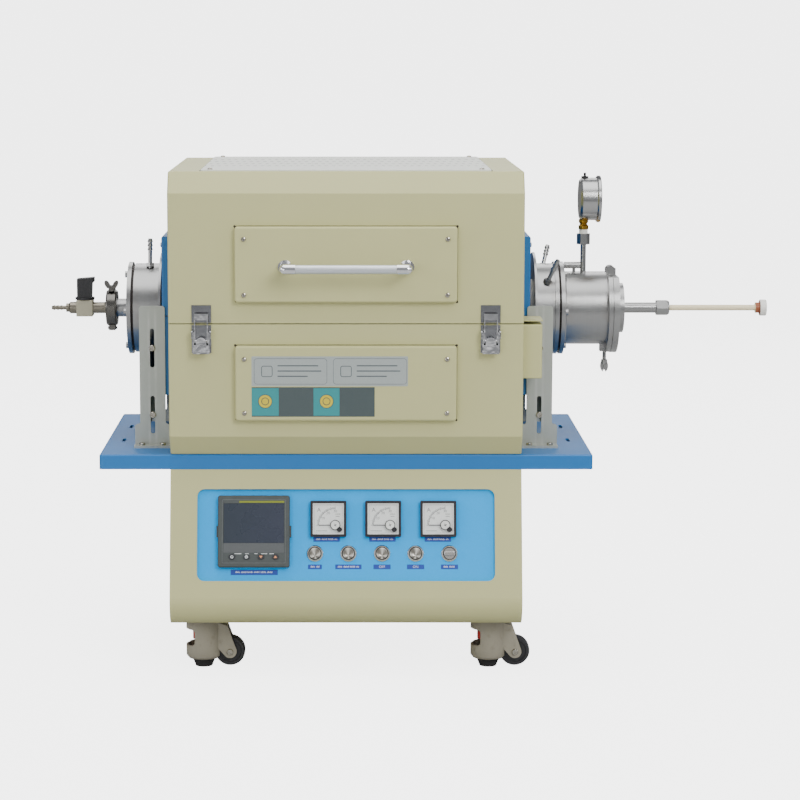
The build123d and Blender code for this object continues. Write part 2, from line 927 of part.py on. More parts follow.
def latch_lever(x):
    """A finger plate with a rounded tongue, and two cheeks that run inside the ears."""
    t = latch_sheet
    inner = latch_width / 2 - t - fit
    pivot_y = hearth_front - latch_pivot_out
    pivot_z = axis_z - latch_pivot_fall
    claw_z = axis_z - claw_pivot_fall
    claw_y = hearth_front - claw_pivot_out
    back = pivot_y - 2.4
    low = axis_z - latch_bottom
    tongue_top = axis_z - lever_tongue_top - lever_tongue_half
    outline = (
        Pos(x, (low + axis_z - lever_shoulder) / 2)
        * Rectangle(2 * inner, latch_bottom - lever_shoulder)
        + Pos(x, (low + tongue_top) / 2) * Rectangle(2 * lever_tongue_half, tongue_top - low)
        + Pos(x, tongue_top) * Circle(lever_tongue_half)
    )
    lever = extrude(Plane.XZ.offset(-back) * outline, amount=t)
    lever = lever + block(x - inner, x + inner, back - t - 2.5, back, low, low + t)
    for side in (-1, 1):
        c = x + side * (inner - t / 2)
        lever = lever + block(
            c - t / 2, c + t / 2, back - t, pivot_y + lever_heel,
            axis_z - lever_shoulder - 2, pivot_z + 4,
        )
    lever = lever - bar_x(
        latch_pin_radius + running, x - inner - 1, x + inner + 1, pivot_y, pivot_z
    )
    lever = lever - bar_x(claw_pin_radius, x - inner - 1, x + inner + 1, claw_y, claw_z)
    return [lever, bar_x(claw_pin_radius, x - inner, x + inner, claw_y, claw_z)]


def latch_claw(x):
    """Two arms and a cross bar that stands just in front of the catch's lip."""
    t = latch_sheet
    half = latch_width / 2 - 2 * (t + fit)
    claw_y = hearth_front - claw_pivot_out
    claw_z = axis_z - claw_pivot_fall
    back = hearth_front - catch_lip_out - 0.5
    high = axis_z + catch_lip_high + 3
    claw = block(x - half, x + half, back - t, back, axis_z + catch_lip_low, high)
    for side in (-1, 1):
        c = x + side * (half - t / 2)
        claw = claw + block(
            c - t / 2, c + t / 2, back - t, claw_y + 2 * claw_pin_radius,
            claw_z - 2 * claw_pin_radius, high,
        )
    return claw - bar_x(claw_pin_radius + running, x - half - 1, x + half + 1, claw_y, claw_z)


def latch_catch(x):
    """The plate on the lid with its upturned lip."""
    t = latch_sheet
    half = latch_width / 2
    lip_half = half - 3 * t - 2 * fit - 0.8
    lip_y = hearth_front - catch_lip_out
    low = axis_z + catch_lip_low
    return (
        block(x - half, x + half, hearth_front - t, hearth_front, seam_high + 1, axis_z + catch_top)
        + block(x - lip_half, x + lip_half, lip_y, hearth_front, low, low + t)
        + block(x - lip_half, x + lip_half, lip_y, lip_y + t, low, axis_z + catch_lip_high)
    )


def make_latches():
    for side, name in ((-1, "left"), (1, "right")):
        x = side * latch_x
        add("base_hardware", *latch_base(x))
        add(f"latch_lever_{name}", *latch_lever(x))
        add(f"latch_claw_{name}", latch_claw(x))
        add("lid_hardware", latch_catch(x))


def make_lid_switch():
    x0 = half_width
    x1 = half_width + switch_out
    body = block(
        x0, x1, switch_front, switch_back, axis_z + switch_low, axis_z + switch_top
    )
    body = fillet(body.edges().filter_by(Axis.Z).sort_by(Axis.X)[-2:], 3)
    body = fillet(body.faces().sort_by(Axis.X)[-1].edges(), 1.5)
    plunger = bar_z(
        2.5, axis_z + switch_top, axis_z + seam_gap / 2 + 0.1,
        x0 + switch_out / 2, (switch_front + switch_back) / 2,
    )
    add("lid_switch", body + plunger)
    lip_low = seam_high + 0.4
    striker = block(
        x0, x0 + striker_thick, switch_front + 5, switch_back - 5, lip_low, axis_z + striker_up
    ) + block(
        x0, x1 + 1, switch_front + 5, switch_back - 5, lip_low, lip_low + striker_thick
    )
    add("lid_shell", striker)


# ---------------------------------------------------------------- furnace tube and stands
def make_tube():
    bore = tube_radius - tube_wall
    tube = washer_x(tube_radius, bore, -tube_half, tube_half)
    plugs = []
    for side in (-1, 1):
        near = side * plug_near
        far = side * (plug_near + plug_length)
        plugs.append(
            washer_x(bore - fit, plug_gas_hole, min(near, far), max(near, far))
        )
    add("furnace_tube", on_axis(tube))
    add("base_insulation", *[on_axis(plug) for plug in plugs])


def make_stands():
    low = shelf_top
    high = axis_z + stand_top
    for side in (-1, 1):
        x = side * stand_x
        outline = (
            Pos(x, (low + high) / 2) * Rectangle(stand_neck, high - low)
            + Pos(x, low + stand_foot_height / 2) * Rectangle(stand_foot, stand_foot_height)
        )
        shoulders = [
            v for v in outline.vertices()
            if abs(v.Y - (low + stand_foot_height)) < 0.1
        ]
        outline = fillet(shoulders, (stand_foot - stand_neck) / 4)
        tops = [v for v in outline.vertices() if abs(v.Y - high) < 0.1]
        outline = fillet(tops, 4)
        for top, bottom in (upper_slot, lower_slot):
            outline = outline - Pos(x, axis_z + (top + bottom) / 2) * Rot(0, 0, 90) * SlotOverall(
                top - bottom, slot_width
            )
        for front in (-1, 1):
            y_out = front * stand_y
            y_in = front * (stand_y - stand_sheet)
            leg = extrude(Plane.XZ.offset(-min(y_out, y_in)) * outline, amount=-stand_sheet)
            foot_y = front * (stand_y + stand_foot_depth)
            foot = block(
                x - stand_foot / 2, x + stand_foot / 2,
                min(y_in, foot_y), max(y_in, foot_y), low, low + stand_sheet,
            )
            add("flange_stands", leg + foot)
        saddle_x = side * (stand_x + 10)
        reach = stand_y - stand_sheet
        saddle = block(
            saddle_x - saddle_thick / 2, saddle_x + saddle_thick / 2, -reach, reach,
            axis_z - saddle_low, axis_z - saddle_high,
        )
        seat = on_axis(bar_x(flange_radius + 0.1, saddle_x - 20, saddle_x + 20))
        add("flange_stands", saddle - seat)


# ---------------------------------------------------------------- flanges
def water_barb(start, end):
    """A hose barb: a stem with three ridges, drawn from its root to its tip."""
    stem = bar_between(2.8, start, end)
    path = Vector(*end) - Vector(*start)
    length = path.length
    ridges = []
    for share in (0.62, 0.75, 0.88):
        root = Vector(*start) + path * share
        cone = Plane(origin=root, z_dir=path).location * Pos(0, 0, length * 0.05) * Cone(
            4.0, 2.8, length * 0.1
        )
        ridges.append(cone)
    nut = Plane(origin=start, z_dir=path).location * Pos(0, 0, 3.5)
    collar = extrude(nut * RegularPolygon(6.0, 6), amount=5)
    for ridge in ridges:
        stem = stem + ridge
    return stem + collar


def ring_of_bolts(x_head, towards, x_end):
    """Cap screws round a flange, heads at x_head and standing out towards `towards`."""
    bolts = []
    for i in range(bolt_count):
        angle = radians(360 / bolt_count * i)
        y = bolt_circle * cos(angle)
        z = bolt_circle * sin(angle)
        head = bar_x(bolt_head_radius, x_head, x_head + towards * bolt_head_high, y, z)
        shank = bar_x(2.5, x_head, x_end, y, z)
        bolts.append(head + shank)
    return bolts


def bolt_holes(x0, x1, radius):
    return [
        bar_x(
            radius, x0, x1,
            bolt_circle * cos(radians(360 / bolt_count * i)),
            bolt_circle * sin(radians(360 / bolt_count * i)),
        )
        for i in range(bolt_count)
    ]


def make_left_flange():
    x_in, x_out = -left_inner, -left_body
    seal_out = x_out - seal_thick
    disc_out = -left_disc
    tube_gap = tube_radius + fit
    tube_end = -tube_half - fit
    shield = washer_x(shield_radius, tube_gap, x_in, x_in + shield_thick)
    body = turned_x([
        (x_in, tube_gap), (x_in, flange_radius), (x_out, flange_radius),
        (x_out, tube_radius - tube_wall), (tube_end, tube_radius - tube_wall),
        (tube_end, tube_gap),
    ]) - bolt_holes(x_out, x_out + 14, 2.5)
    seal = washer_x(seal_radius, tube_radius - tube_wall, seal_out, x_out)
    seal = seal - bolt_holes(seal_out, x_out, 2.6)
    middle = -coupling_middle
    taper = (coupling_radius - pipe_radius) / coupling_taper
    disc = turned_x([
        (seal_out, pipe_bore), (seal_out, disc_radius), (disc_out, disc_radius),
        (disc_out, pipe_radius), (middle + coupling_rim + taper, pipe_radius),
        (middle + coupling_rim, coupling_radius), (middle + coupling_gap, coupling_radius),
        (middle + coupling_gap, pipe_bore),
    ]) - bolt_holes(disc_out, seal_out, 2.6)
    bolts = ring_of_bolts(disc_out, -1, x_out + 13)
    barb_x = -left_inner - 14.3
    barb = water_barb(
        (barb_x, -20, flange_radius - 6), (barb_x, -14, flange_radius + 36)
    )
    body = body - bar_between(
        3.0, (barb_x, -20, flange_radius - 7), (barb_x, -14, flange_radius + 36)
    )
    pieces = [shield, body, seal, disc, barb] + bolts
    add("left_flange", *[on_axis(piece) for piece in pieces])


def make_clamp():
    """Two half shells drawn over the pipe couplings, with a bolt and wing nut on top."""
    x0, x1 = -clamp_outer, -clamp_inner
    middle = -coupling_middle
    bore = pipe_radius + 2.5
    groove = coupling_radius + fit * sqrt(1 + coupling_taper ** 2)
    wide = coupling_rim + (groove - bore) / coupling_taper
    ring = turned_x([
        (x0 + 3, clamp_radius - 1.5), (x0 + 5, clamp_radius), (x1 - 5, clamp_radius),
        (x1 - 3, clamp_radius - 1.5), (x1 - 3, bore), (middle + wide, bore),
        (middle + coupling_rim, groove), (middle - coupling_rim, groove),
        (middle - wide, bore), (x0 + 3, bore),
    ])
    for y, z in ((0, clamp_radius + 1), (0, -clamp_radius - 1)):
        ring = ring + (Pos(middle, y, z) * Box(9, 16, 10))
    split = Pos(middle, 0, 0) * Box(60, 1.6, 120)
    halves = (ring - split - bar_y(1.8, -12, 12, middle, clamp_radius + 2.5)).solids()
    bolt = bar_y(1.7, -14, 10.5, middle, clamp_radius + 2.5)
    head = bar_y(3.2, 8.1, 10.6, middle, clamp_radius + 2.5)
    hub = bar_y(3.6, -12.6, -8.1, middle, clamp_radius + 2.5)
    wing_face = (
        Pos(0, 2.0) * Rectangle(5, 4)
        + Pos(-5.6, 6.0) * Rot(0, 0, 28) * Ellipse(3.4, 6.2)
        + Pos(5.6, 6.0) * Rot(0, 0, -28) * Ellipse(3.4, 6.2)
    )
    wings = extrude(
        Plane.XZ.offset(12.2) * Pos(middle, clamp_radius + 2.5) * wing_face, amount=-2.6
    )
    nut = hub + wings - bar_y(1.7, -20, 12, middle, clamp_radius + 2.5)
    link = bar_x(2.0, middle - 6.5, middle + 6.5, 0, -clamp_radius - 3.2)
    pieces = list(halves) + [bolt + head, nut, link]
    add("kf_clamp", *[on_axis(piece) for piece in pieces])


def make_gas_valve():
    middle = -coupling_middle
    neck = valve_pipe_radius + 1.5
    taper = (coupling_radius - neck) / coupling_taper
    block_in = -(valve_block_middle - valve_block_size / 2)
    block_out = -(valve_block_middle + valve_block_size / 2)
    pipe = turned_x([
        (middle - coupling_gap, gas_bore), (middle - coupling_gap, coupling_radius),
        (middle - coupling_rim, coupling_radius), (middle - coupling_rim - taper, neck),
        (-clamp_outer, valve_pipe_radius), (block_in, valve_pipe_radius), (block_in, gas_bore),
    ])
    half = valve_block_size / 2
    cube = block(block_out, block_in, -half, half, -half, half)
    cube = fillet(cube.edges(), 1.2) - bar_x(gas_bore, block_out - 1, block_in + 1)
    cube = cube - bar_z(knob_stem_radius + running, gas_bore + 1, half + 1, -valve_block_middle, 0)
    shoulder = -connector_end
    tail = turned_x([
        (block_out, gas_bore), (block_out, connector_big), (block_out - 9, connector_big),
        (block_out - 11, connector_small), (shoulder, connector_small),
        (shoulder, barb_neck), (shoulder - 6, barb_neck), (shoulder - 6, barb_radius),
        (shoulder - 9, barb_neck), (shoulder - 11, barb_neck), (shoulder - 11, barb_radius),
        (shoulder - 14, barb_neck), (shoulder - 16, barb_neck), (shoulder - 16, barb_radius),
        (-barb_end, barb_neck - 0.4), (-barb_end, barb_neck - 1.2),
        (block_out - 4, barb_neck - 1.2), (block_out - 4, gas_bore),
    ])
    add("gas_valve", on_axis(pipe), on_axis(cube), on_axis(tail))
    collar_low = half + fit
    collar = bar_z(
        knob_collar_radius, collar_low, collar_low + knob_collar_thick, -valve_block_middle, 0
    )
    top = collar_low + knob_collar_thick + knob_height
    side = knob_width / 2
    body = prism_y([
        (-side, collar_low + 1), (side - 1, collar_low + 1), (side, top - knob_nib * 3),
        (side + knob_nib, top - knob_nib * 2), (side + knob_nib, top), (-side, top - 2),
    ], -side * 0.9, side * 0.9)
    body = fillet(body.edges().filter_by(Axis.Z), 2.0)
    body = Pos(-valve_block_middle, 0, 0) * body
    stem = bar_z(knob_stem_radius, gas_bore + 2, collar_low + 2, -valve_block_middle, 0)
    add("valve_knob", on_axis(collar + body + stem))


def prism_y(points, y0, y1):
    """The closed outline of (x, z) points, drawn out along y."""
    outline = make_face(Polyline(*[(x, y0, z) for x, z in points], close=True))
    return extrude(outline, amount=y1 - y0, dir=(0, 1, 0))


def make_right_flange():
    tube_gap = tube_radius + fit
    bore = tube_radius - tube_wall
    chamber_bore = chamber_radius - chamber_wall
    shield = washer_x(shield_radius, tube_gap, right_inner - shield_thick, right_inner)
    tube_end = tube_half + fit
    body = turned_x([
        (right_inner, tube_gap), (right_inner, flange_radius), (right_body, flange_radius),
        (right_body, right_disc_radius), (right_disc_one, right_disc_radius),
        (right_disc_one, bore), (tube_end, bore), (tube_end, tube_gap),
    ]) - bolt_holes(right_inner + 18, right_disc_one, 2.5)
    seal = washer_x(seal_radius, bore, right_disc_one, right_disc_two)
    seal = seal - bolt_holes(right_disc_one, right_disc_two, 2.6)
    ring_end = chamber_end + door_ring_thick
    chamber = turned_x([
        (right_disc_two, bore), (right_disc_two, right_disc_radius),
        (chamber_start, right_disc_radius), (chamber_start, chamber_radius + 2),
        (chamber_start + 2.5, chamber_radius), (chamber_end, chamber_radius),
        (chamber_end, door_ring_radius), (ring_end, door_ring_radius),
        (ring_end, door_mouth_radius), (chamber_end, door_mouth_radius),
        (chamber_end, chamber_bore), (chamber_start, chamber_bore), (chamber_start, bore),
    ]) - bolt_holes(right_disc_two, chamber_start, 2.6)
    chamber = chamber - above_flat(chamber_end, ring_end + 1)
    ear_middle = door_lug_width / 2 + door_lug_gap + door_ear_thick / 2
    for y in (-ear_middle, ear_middle):
        y0, y1 = y - door_ear_thick / 2, y + door_ear_thick / 2
        ear = bar_y(door_lug_radius, y0, y1, hinge_door_x, door_hinge_rise)
        root = block(
            chamber_end, ring_end, y0, y1,
            door_hinge_rise - door_lug_radius - 2, door_hinge_rise + door_lug_radius * 0.4,
        )
        chamber = chamber + ear + root
    pin_half = ear_middle + door_ear_thick / 2
    pin_hole = bar_y(door_pin_radius, -pin_half, pin_half, hinge_door_x, door_hinge_rise)
    chamber = chamber - pin_hole
    pin = bar_y(door_pin_radius, -pin_half, pin_half, hinge_door_x, door_hinge_rise)
    # a slot in the ring and two ears behind it, for the swing bolt
    eye_half = bolt_eye_width / 2 + fit
    chamber = chamber - block(
        chamber_end, ring_end + 1, -eye_half, eye_half,
        -door_ring_radius - 1, -bolt_pivot_fall + bolt_eye_radius + fit,
    )
    for y in (-1, 1):
        y0 = min(y * eye_half, y * (eye_half + bolt_ear_thick))
        y1 = max(y * eye_half, y * (eye_half + bolt_ear_thick))
        ear = block(
            bolt_pivot_x - 7, chamber_end, y0, y1,
            -door_ring_radius + 1, -chamber_radius + 2,
        )
        chamber = chamber + ear
    eye_hole = bar_y(
        bolt_pin_radius, -eye_half - bolt_ear_thick, eye_half + bolt_ear_thick,
        bolt_pivot_x, -bolt_pivot_fall,
    )
    chamber = chamber - eye_hole
    eye_pin = bar_y(
        bolt_pin_radius, -eye_half - bolt_ear_thick, eye_half + bolt_ear_thick,
        bolt_pivot_x, -bolt_pivot_fall,
    )
    bolts = ring_of_bolts(chamber_start, 1, right_inner + 19)
    chamber = chamber - bar_z(riser_radius, chamber_bore - 4, chamber_radius + 4, gauge_x, 0)
    vent_bar = bar_x(4.6, 304, 327, -3, 60)
    post = bar_z(2.2, chamber_radius - 1, 58, 318, -3)
    chamber_pieces = [chamber, vent_bar + post]
    front_root = (right_inner + 13, -46, 36)
    front_tip = (right_inner + 28, -60, 72)
    back_root = (right_inner + 13, 30, 50)
    back_tip = (right_inner + 22, 44, 84)
    barbs = [water_barb(front_root, front_tip), water_barb(back_root, back_tip)]
    for start, end in ((front_root, front_tip), (back_root, back_tip)):
        body = body - bar_between(3.0, start, end)
    pieces = [shield, body, seal, pin, eye_pin] + chamber_pieces + barbs + bolts
    add("right_flange", *[on_axis(piece) for piece in pieces])


def above_flat(x0, x1):
    """What the flats under the door's hinge take off the ring and the door."""
    flat = door_hinge_rise - door_lug_radius - door_flat_gap
    reach = door_ring_radius + 2
    return block(x0, x1, -reach, reach, flat, reach)


def make_door():
    face = chamber_end + door_ring_thick + door_gap
    back = face + door_thick
    disc = turned_x([
        (face, rod_outer_radius + running), (face, door_ring_radius + 0.5),
        (back, door_ring_radius + 0.5), (back, boss_radius), (boss_end, boss_radius),
        (boss_end, stub_radius), (stub_end, stub_radius),
        (stub_end, rod_outer_radius + running),
    ])
    nut = hexagon_x(nut_across, stub_end, nut_end) - bar_x(
        rod_outer_radius + running, stub_end - 1, nut_end + 1
    )
    nut = nut & turned_x([
        (stub_end, 0), (stub_end, nut_across * 0.53), (stub_end + 1.2, nut_across * 0.6),
        (nut_end - 3, nut_across * 0.6), (nut_end - 1.8, nut_across * 0.5),
        (nut_end, nut_across * 0.45), (nut_end, 0),
    ])
    half = door_lug_width / 2
    disc = disc - above_flat(face - 1, back + 1)
    lug = bar_y(door_lug_radius, -half, half, hinge_door_x, door_hinge_rise)
    arm = block(
        face, back - 1, -half, half,
        door_hinge_rise - door_lug_radius - 2, door_hinge_rise + door_lug_radius * 0.4,
    )
    disc = disc + (lug + arm)
    slot_half = bolt_shank_radius + 1
    disc = disc - block(
        face - 1, back + 1, -slot_half, slot_half,
        -door_ring_radius - 2, -bolt_pivot_fall + slot_half,
    )
    disc = disc - bar_y(
        door_pin_radius + running, -half - 1, half + 1, hinge_door_x, door_hinge_rise
    )
    add("chamber_door", on_axis(disc), on_axis(nut))


def make_swing_bolt():
    """An eye bolt that hangs from the ears, with a wing nut seen edge on."""
    half = bolt_eye_width / 2
    z = -bolt_pivot_fall
    eye = bar_y(bolt_eye_radius, -half, half, bolt_pivot_x, z)
    shank = bar_z(bolt_shank_radius, z - bolt_length, z, bolt_pivot_x, 0)
    bolt = eye + shank - bar_y(
        bolt_pin_radius + running, -half - 1, half + 1, bolt_pivot_x, z
    )
    hub = bar_z(4.4, z - bolt_nut_start - bolt_nut_length, z - bolt_nut_start, bolt_pivot_x, 0)
    wing_z = z - bolt_nut_start - bolt_wing_length / 2 - 0.5
    wing = extrude(
        Plane.XZ.offset(2) * Pos(bolt_pivot_x, wing_z) * Ellipse(5.6, bolt_wing_length / 2),
        amount=-4,
    )
    nut = hub + wing - bar_z(bolt_shank_radius, z - bolt_length - 9, z, bolt_pivot_x, 0)
    add("swing_bolt", on_axis(bolt), on_axis(nut))


def make_thermocouple():
    sheath = bar_x(rod_outer_radius, sheath_inner, sheath_end)
    collar = bar_x(collar_radius, sheath_end, collar_end)
    cap = bar_x(cap_radius, collar_end, cap_end)
    cap = fillet(cap.edges(), 1.0)
    add("thermocouple", on_axis(sheath), on_axis(collar), on_axis(cap))


# ---------------------------------------------------------------- pressure gauge
def make_gauge():
    riser_foot = chamber_radius - chamber_wall + 0.5
    riser = bar_z(riser_radius, riser_foot, riser_top, gauge_x, 0)
    riser = riser - bar_z(riser_radius - 1, riser_foot - 1, riser_top + 1, gauge_x, 0)
    hexagon = Pos(gauge_x, 0, riser_top) * extrude(
        RegularPolygon(socket_across / 2, 6, major_radius=False), amount=socket_top - riser_top
    )
    tape = bar_z(6.0, socket_top, tape_top, gauge_x, 0)
    brass = Pos(gauge_x, 0, tape_top) * turned_z([
        (0, 0), (6.9, 0), (6.9, 5), (5.2, 6.5), (5.2, 8), (6.6, 9.5),
        (6.6, brass_top - tape_top), (0, brass_top - tape_top),
    ])
    z = gauge_rise
    back, front = gauge_case_back, gauge_case_front
    rim = gauge_bezel_front
    case = turned_x([
        (back, 0), (back, gauge_case_radius - 3), (back + 3, gauge_case_radius),
        (front, gauge_case_radius), (front, gauge_bezel_radius - 1.5),
        (front + 1.5, gauge_bezel_radius), (rim - 1, gauge_bezel_radius),
        (rim, gauge_bezel_radius - 1), (rim, gauge_case_radius - 2.5),
        (front - 4, gauge_case_radius - 2.5), (front - 4, 0),
    ])
    spindle = bar_x(0.8, front - 4.5, front - 1)
    saddle = bar_z(5.6, -gauge_case_radius - 1.5, -gauge_case_radius + 4, gauge_x, 0)
    case = Pos(0, 0, z) * (case + spindle + saddle)
    top = z + gauge_case_radius
    filler = bar_z(filler_radius, top - 0.5, top + 2.2, gauge_x + 1, 0)
    filler = filler + bar_z(1.8, top + 2, top + filler_high + 2, gauge_x + 1, 0)
    pieces = [riser, hexagon, tape, brass, case, filler]
    add("pressure_gauge", *[on_axis(piece) for piece in pieces])
    lens = Pos(0, 0, z) * bar_x(gauge_case_radius - 2.6, rim - 2.5, rim - 1)
    add("instrument_windows", on_axis(lens))
    hub = bar_x(3.0, front - 3.2, front - 2.0) + Pos(front - 2.6, 0, 9) * Box(0.8, 1.4, 24)
    hub = hub - bar_x(0.8 + running, front - 5, front)
    add("gauge_pointer", on_axis(Pos(0, 0, z) * Rot(gauge_sweep / 2, 0, 0) * hub))


# ---------------------------------------------------------------- castors
def castor_places():
    return [(x * castor_x, y * castor_y) for y in (-1, 1) for x in (-1, 1)]


def castor_housing():
    """The cast housing: hub, skirt round the foot and two cheeks for the wheel."""
    top = castor_height - castor_plate_thick - fit
    body = turned_z([
        (0, skirt_low), (hub_radius - 3, skirt_low), (hub_radius, skirt_low + 4),
        (hub_radius, hub_low + 2), (hub_radius - 3, top), (0, top),
    ])
    hollow = bar_z(hub_radius - skirt_wall, skirt_low - 1, hub_low)
    half_fork = wheel_width / 2 + cheek_gap
    axle_z = wheel_radius + wheel_lift
    arm_face = make_hull(
        (Pos(4, top - 9) * Circle(9)).edges()
        + (Pos(wheel_offset, axle_z) * Circle(cheek_boss)).edges()
        + (Pos(wheel_offset - 8, top - 14) * Circle(6)).edges()
    )
    arm = extrude(Plane.XZ * arm_face, amount=half_fork + cheek_thick, both=True)
    body = body + arm
    body = body - hollow
    wheel_room = block(
        4, wheel_offset + 40, -half_fork, half_fork, skirt_low - 10, hub_low
    )
    wheel_sweep = bar_y(
        wheel_radius + 2.5, -half_fork, half_fork, wheel_offset, axle_z
    )
    body = body - wheel_room - wheel_sweep
    notch = block(
        -hub_radius - 2, -6, -notch_half, notch_half, notch_low, notch_high
    )
    notch = fillet(notch.edges().filter_by(Axis.X), 5)
    body = body - notch
    body = body - bar_z(kingpin_radius + running, socket_low, top + 1)
    body = body - bar_z(foot_screw_radius + running, hub_low - 1, socket_low + 1)
    outer = half_fork + cheek_thick
    body = body - bar_y(axle_radius, -outer - 1, outer + 1, wheel_offset, axle_z)
    axle = bar_y(axle_radius, -outer, outer, wheel_offset, axle_z)
    return body, axle


def castor_wheel():
    half = wheel_width / 2
    axle_z = wheel_radius + wheel_lift
    r = wheel_radius
    section = make_face(Polyline(
        (axle_radius + running, -half), (7.5, -half), (8.5, -half + 1.5), (r - 6, -half + 1.5),
        (r - 5, -half), (r - 2, -half), (r, -half + 3), (r, half - 3), (r - 2, half),
        (r - 5, half), (r - 6, half - 1.5), (8.5, half - 1.5), (7.5, half),
        (axle_radius + running, half), close=True,
    ))
    wheel = revolve(section, Axis.Y)
    return Pos(wheel_offset, 0, axle_z) * wheel


def levelling_foot():
    """Rubber foot, thumbwheel and screw, which travel together."""
    pad = turned_z([
        (0, 0), (foot_sole_radius, 0), (foot_top_radius, foot_height - 3),
        (foot_top_radius, foot_height), (0, foot_height),
    ])
    screw = bar_z(foot_screw_radius, foot_height, foot_screw_top)
    thumb = bar_z(thumbwheel_radius, thumbwheel_low, thumbwheel_high)
    grips = [
        Rot(0, 0, 360 / grip_count * i)
        * bar_z(grip_radius, thumbwheel_low - 1, thumbwheel_high + 1, thumbwheel_radius + 0.4)
        for i in range(grip_count)
    ]
    thumb = thumb - grips - bar_z(foot_screw_radius, 0, castor_height)
    return pad, screw, thumb


def make_castors():
    body, axle = castor_housing()
    wheel = castor_wheel()
    foot = levelling_foot()
    half = castor_plate / 2
    low = castor_height - castor_plate_thick
    plate = block(-half, half, -half, half, low, castor_height)
    plate = fillet(plate.edges().filter_by(Axis.Z), 6)
    plate = plate + bar_z(kingpin_radius, socket_low + fit, low)
    plate = plate - bar_z(kingpin_bore, socket_low - 1, castor_height + 1)
    for i, (x, y) in enumerate(castor_places()):
        here = Pos(x, y, 0)
        add("castor_plates", here * plate)
        add(f"castor_fork_{i + 1}", here * body, here * axle)
        add(f"castor_wheel_{i + 1}", here * wheel)
        add(f"levelling_foot_{i + 1}", *[here * piece for piece in foot])


def single(name, shape):
    """The one solid of a shape that is all one piece."""
    solids = shape.solids()
    if len(solids) != 1:
        raise ValueError(f"a piece of {name} is {len(solids)} solids")
    return solids[0]


make_cabinet()
make_panel()
make_controller()
make_meters()
make_buttons()
make_shelf()
make_hearth()
make_vent_plate()
make_end_covers()
make_plates_and_handle()
make_hinges()
make_latches()
make_lid_switch()
make_tube()
make_stands()
make_left_flange()
make_clamp()
make_gas_valve()
make_right_flange()
make_door()
make_swing_bolt()
make_thermocouple()
make_gauge()
make_castors()

# The origin is the middle of the footprint, on the floor.
solid_nodes = {
    name: [single(name, piece) for piece in pieces] for name, pieces in nodes.items()
}
whole = Compound([solid for solids in solid_nodes.values() for solid in solids])
bounds = whole.bounding_box()
centring = Pos(-bounds.center().X, -bounds.center().Y, -bounds.min.Z)

for name, solids in solid_nodes.items():
    placed = [centring * solid for solid in solids]
    shape = placed[0] if len(placed) == 1 else Compound(placed)
    export_step(shape, f"parts/{name}.step")
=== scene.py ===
from math import cos, pi, radians, sin

import bmesh
import bpy
from mathutils import Matrix, Vector


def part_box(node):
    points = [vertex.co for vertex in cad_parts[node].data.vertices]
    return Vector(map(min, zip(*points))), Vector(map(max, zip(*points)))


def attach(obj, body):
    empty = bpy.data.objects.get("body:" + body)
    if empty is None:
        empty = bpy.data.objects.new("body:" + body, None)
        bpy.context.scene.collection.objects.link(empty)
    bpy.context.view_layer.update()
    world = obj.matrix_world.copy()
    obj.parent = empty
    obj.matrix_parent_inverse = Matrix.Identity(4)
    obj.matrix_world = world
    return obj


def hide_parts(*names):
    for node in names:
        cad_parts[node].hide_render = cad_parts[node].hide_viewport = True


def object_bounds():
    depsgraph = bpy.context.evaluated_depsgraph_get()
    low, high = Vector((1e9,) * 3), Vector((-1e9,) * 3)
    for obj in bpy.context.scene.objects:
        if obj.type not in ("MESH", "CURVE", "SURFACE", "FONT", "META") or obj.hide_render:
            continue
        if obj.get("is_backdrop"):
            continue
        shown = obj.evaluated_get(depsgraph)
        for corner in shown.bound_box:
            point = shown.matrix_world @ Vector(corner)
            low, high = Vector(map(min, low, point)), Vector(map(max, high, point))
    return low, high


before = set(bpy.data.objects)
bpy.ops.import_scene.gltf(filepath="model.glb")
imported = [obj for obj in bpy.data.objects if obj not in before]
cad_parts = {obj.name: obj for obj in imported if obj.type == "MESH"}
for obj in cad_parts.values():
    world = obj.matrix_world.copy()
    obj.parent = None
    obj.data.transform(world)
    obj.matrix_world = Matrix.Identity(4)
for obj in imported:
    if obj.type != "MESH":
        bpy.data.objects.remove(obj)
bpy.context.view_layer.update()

bl_info = {
    "name": "Tube Furnace Finish",
    "version": (1, 0, 0),
    "blender": (4, 5, 0),
    "location": "3D View > Sidebar > Tube Furnace",
    "description": "Finishes, printing, dials and fasteners of a split tube furnace",
    "category": "Object",
}

# ------------------------------------------------------------------ places
# Lengths are millimetres here: x along the tube from the hearth's middle, y to the back,
# z above the tube's axis, which is also the seam between the lid and the base.
MM = 0.001
TUBE_LOW, TUBE_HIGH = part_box("furnace_tube")
AXIS = (TUBE_LOW + TUBE_HIGH) / 2


def spot(x, y, z):
    """A place in metres in the row frame."""
    return AXIS + Vector((x, y, z)) * MM


def low(node):
    """The lowest corner of a node, in millimetres from the tube's middle."""
    return (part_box(node)[0] - AXIS) / MM


def high(node):
    """The highest corner of a node, in millimetres from the tube's middle."""
    return (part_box(node)[1] - AXIS) / MM


FLOOR = low("levelling_foot_1").z
HEARTH_FRONT = low("hearth_base").y
HEARTH_BACK = high("hearth_base").y
HALF_WIDTH = high("cabinet_shell").x
SHELF_TOP = high("shelf_tray").z
PLATE_FRONT = low("label_plate").y
CABINET_TOP = high("cabinet_shell").z
CONSOLE_TOP_FRONT = -184.0
STAND_X = 263.5                     # middle of each flange stand
STAND_FOOT = 20.0                   # how far a stand's foot reaches past its leg
SLOT_BOLTS = (-43.4, -135.0)        # heights of the bolts in a leg's two slots
VENT_PITCH = 9.7                    # between neighbouring holes of a row in the top plate
VENT_ROWS = 4                       # each half a pitch aside from the one before
VENT_FIRST_ROW = -69.0
VENT_ROW_PITCH = 58.7
VENT_SHADE_RADIUS = 2.6              # painted shade: the hole and a dark ring round its rim
GAUGE_RISE = 152.0                  # middle of the pressure gauge

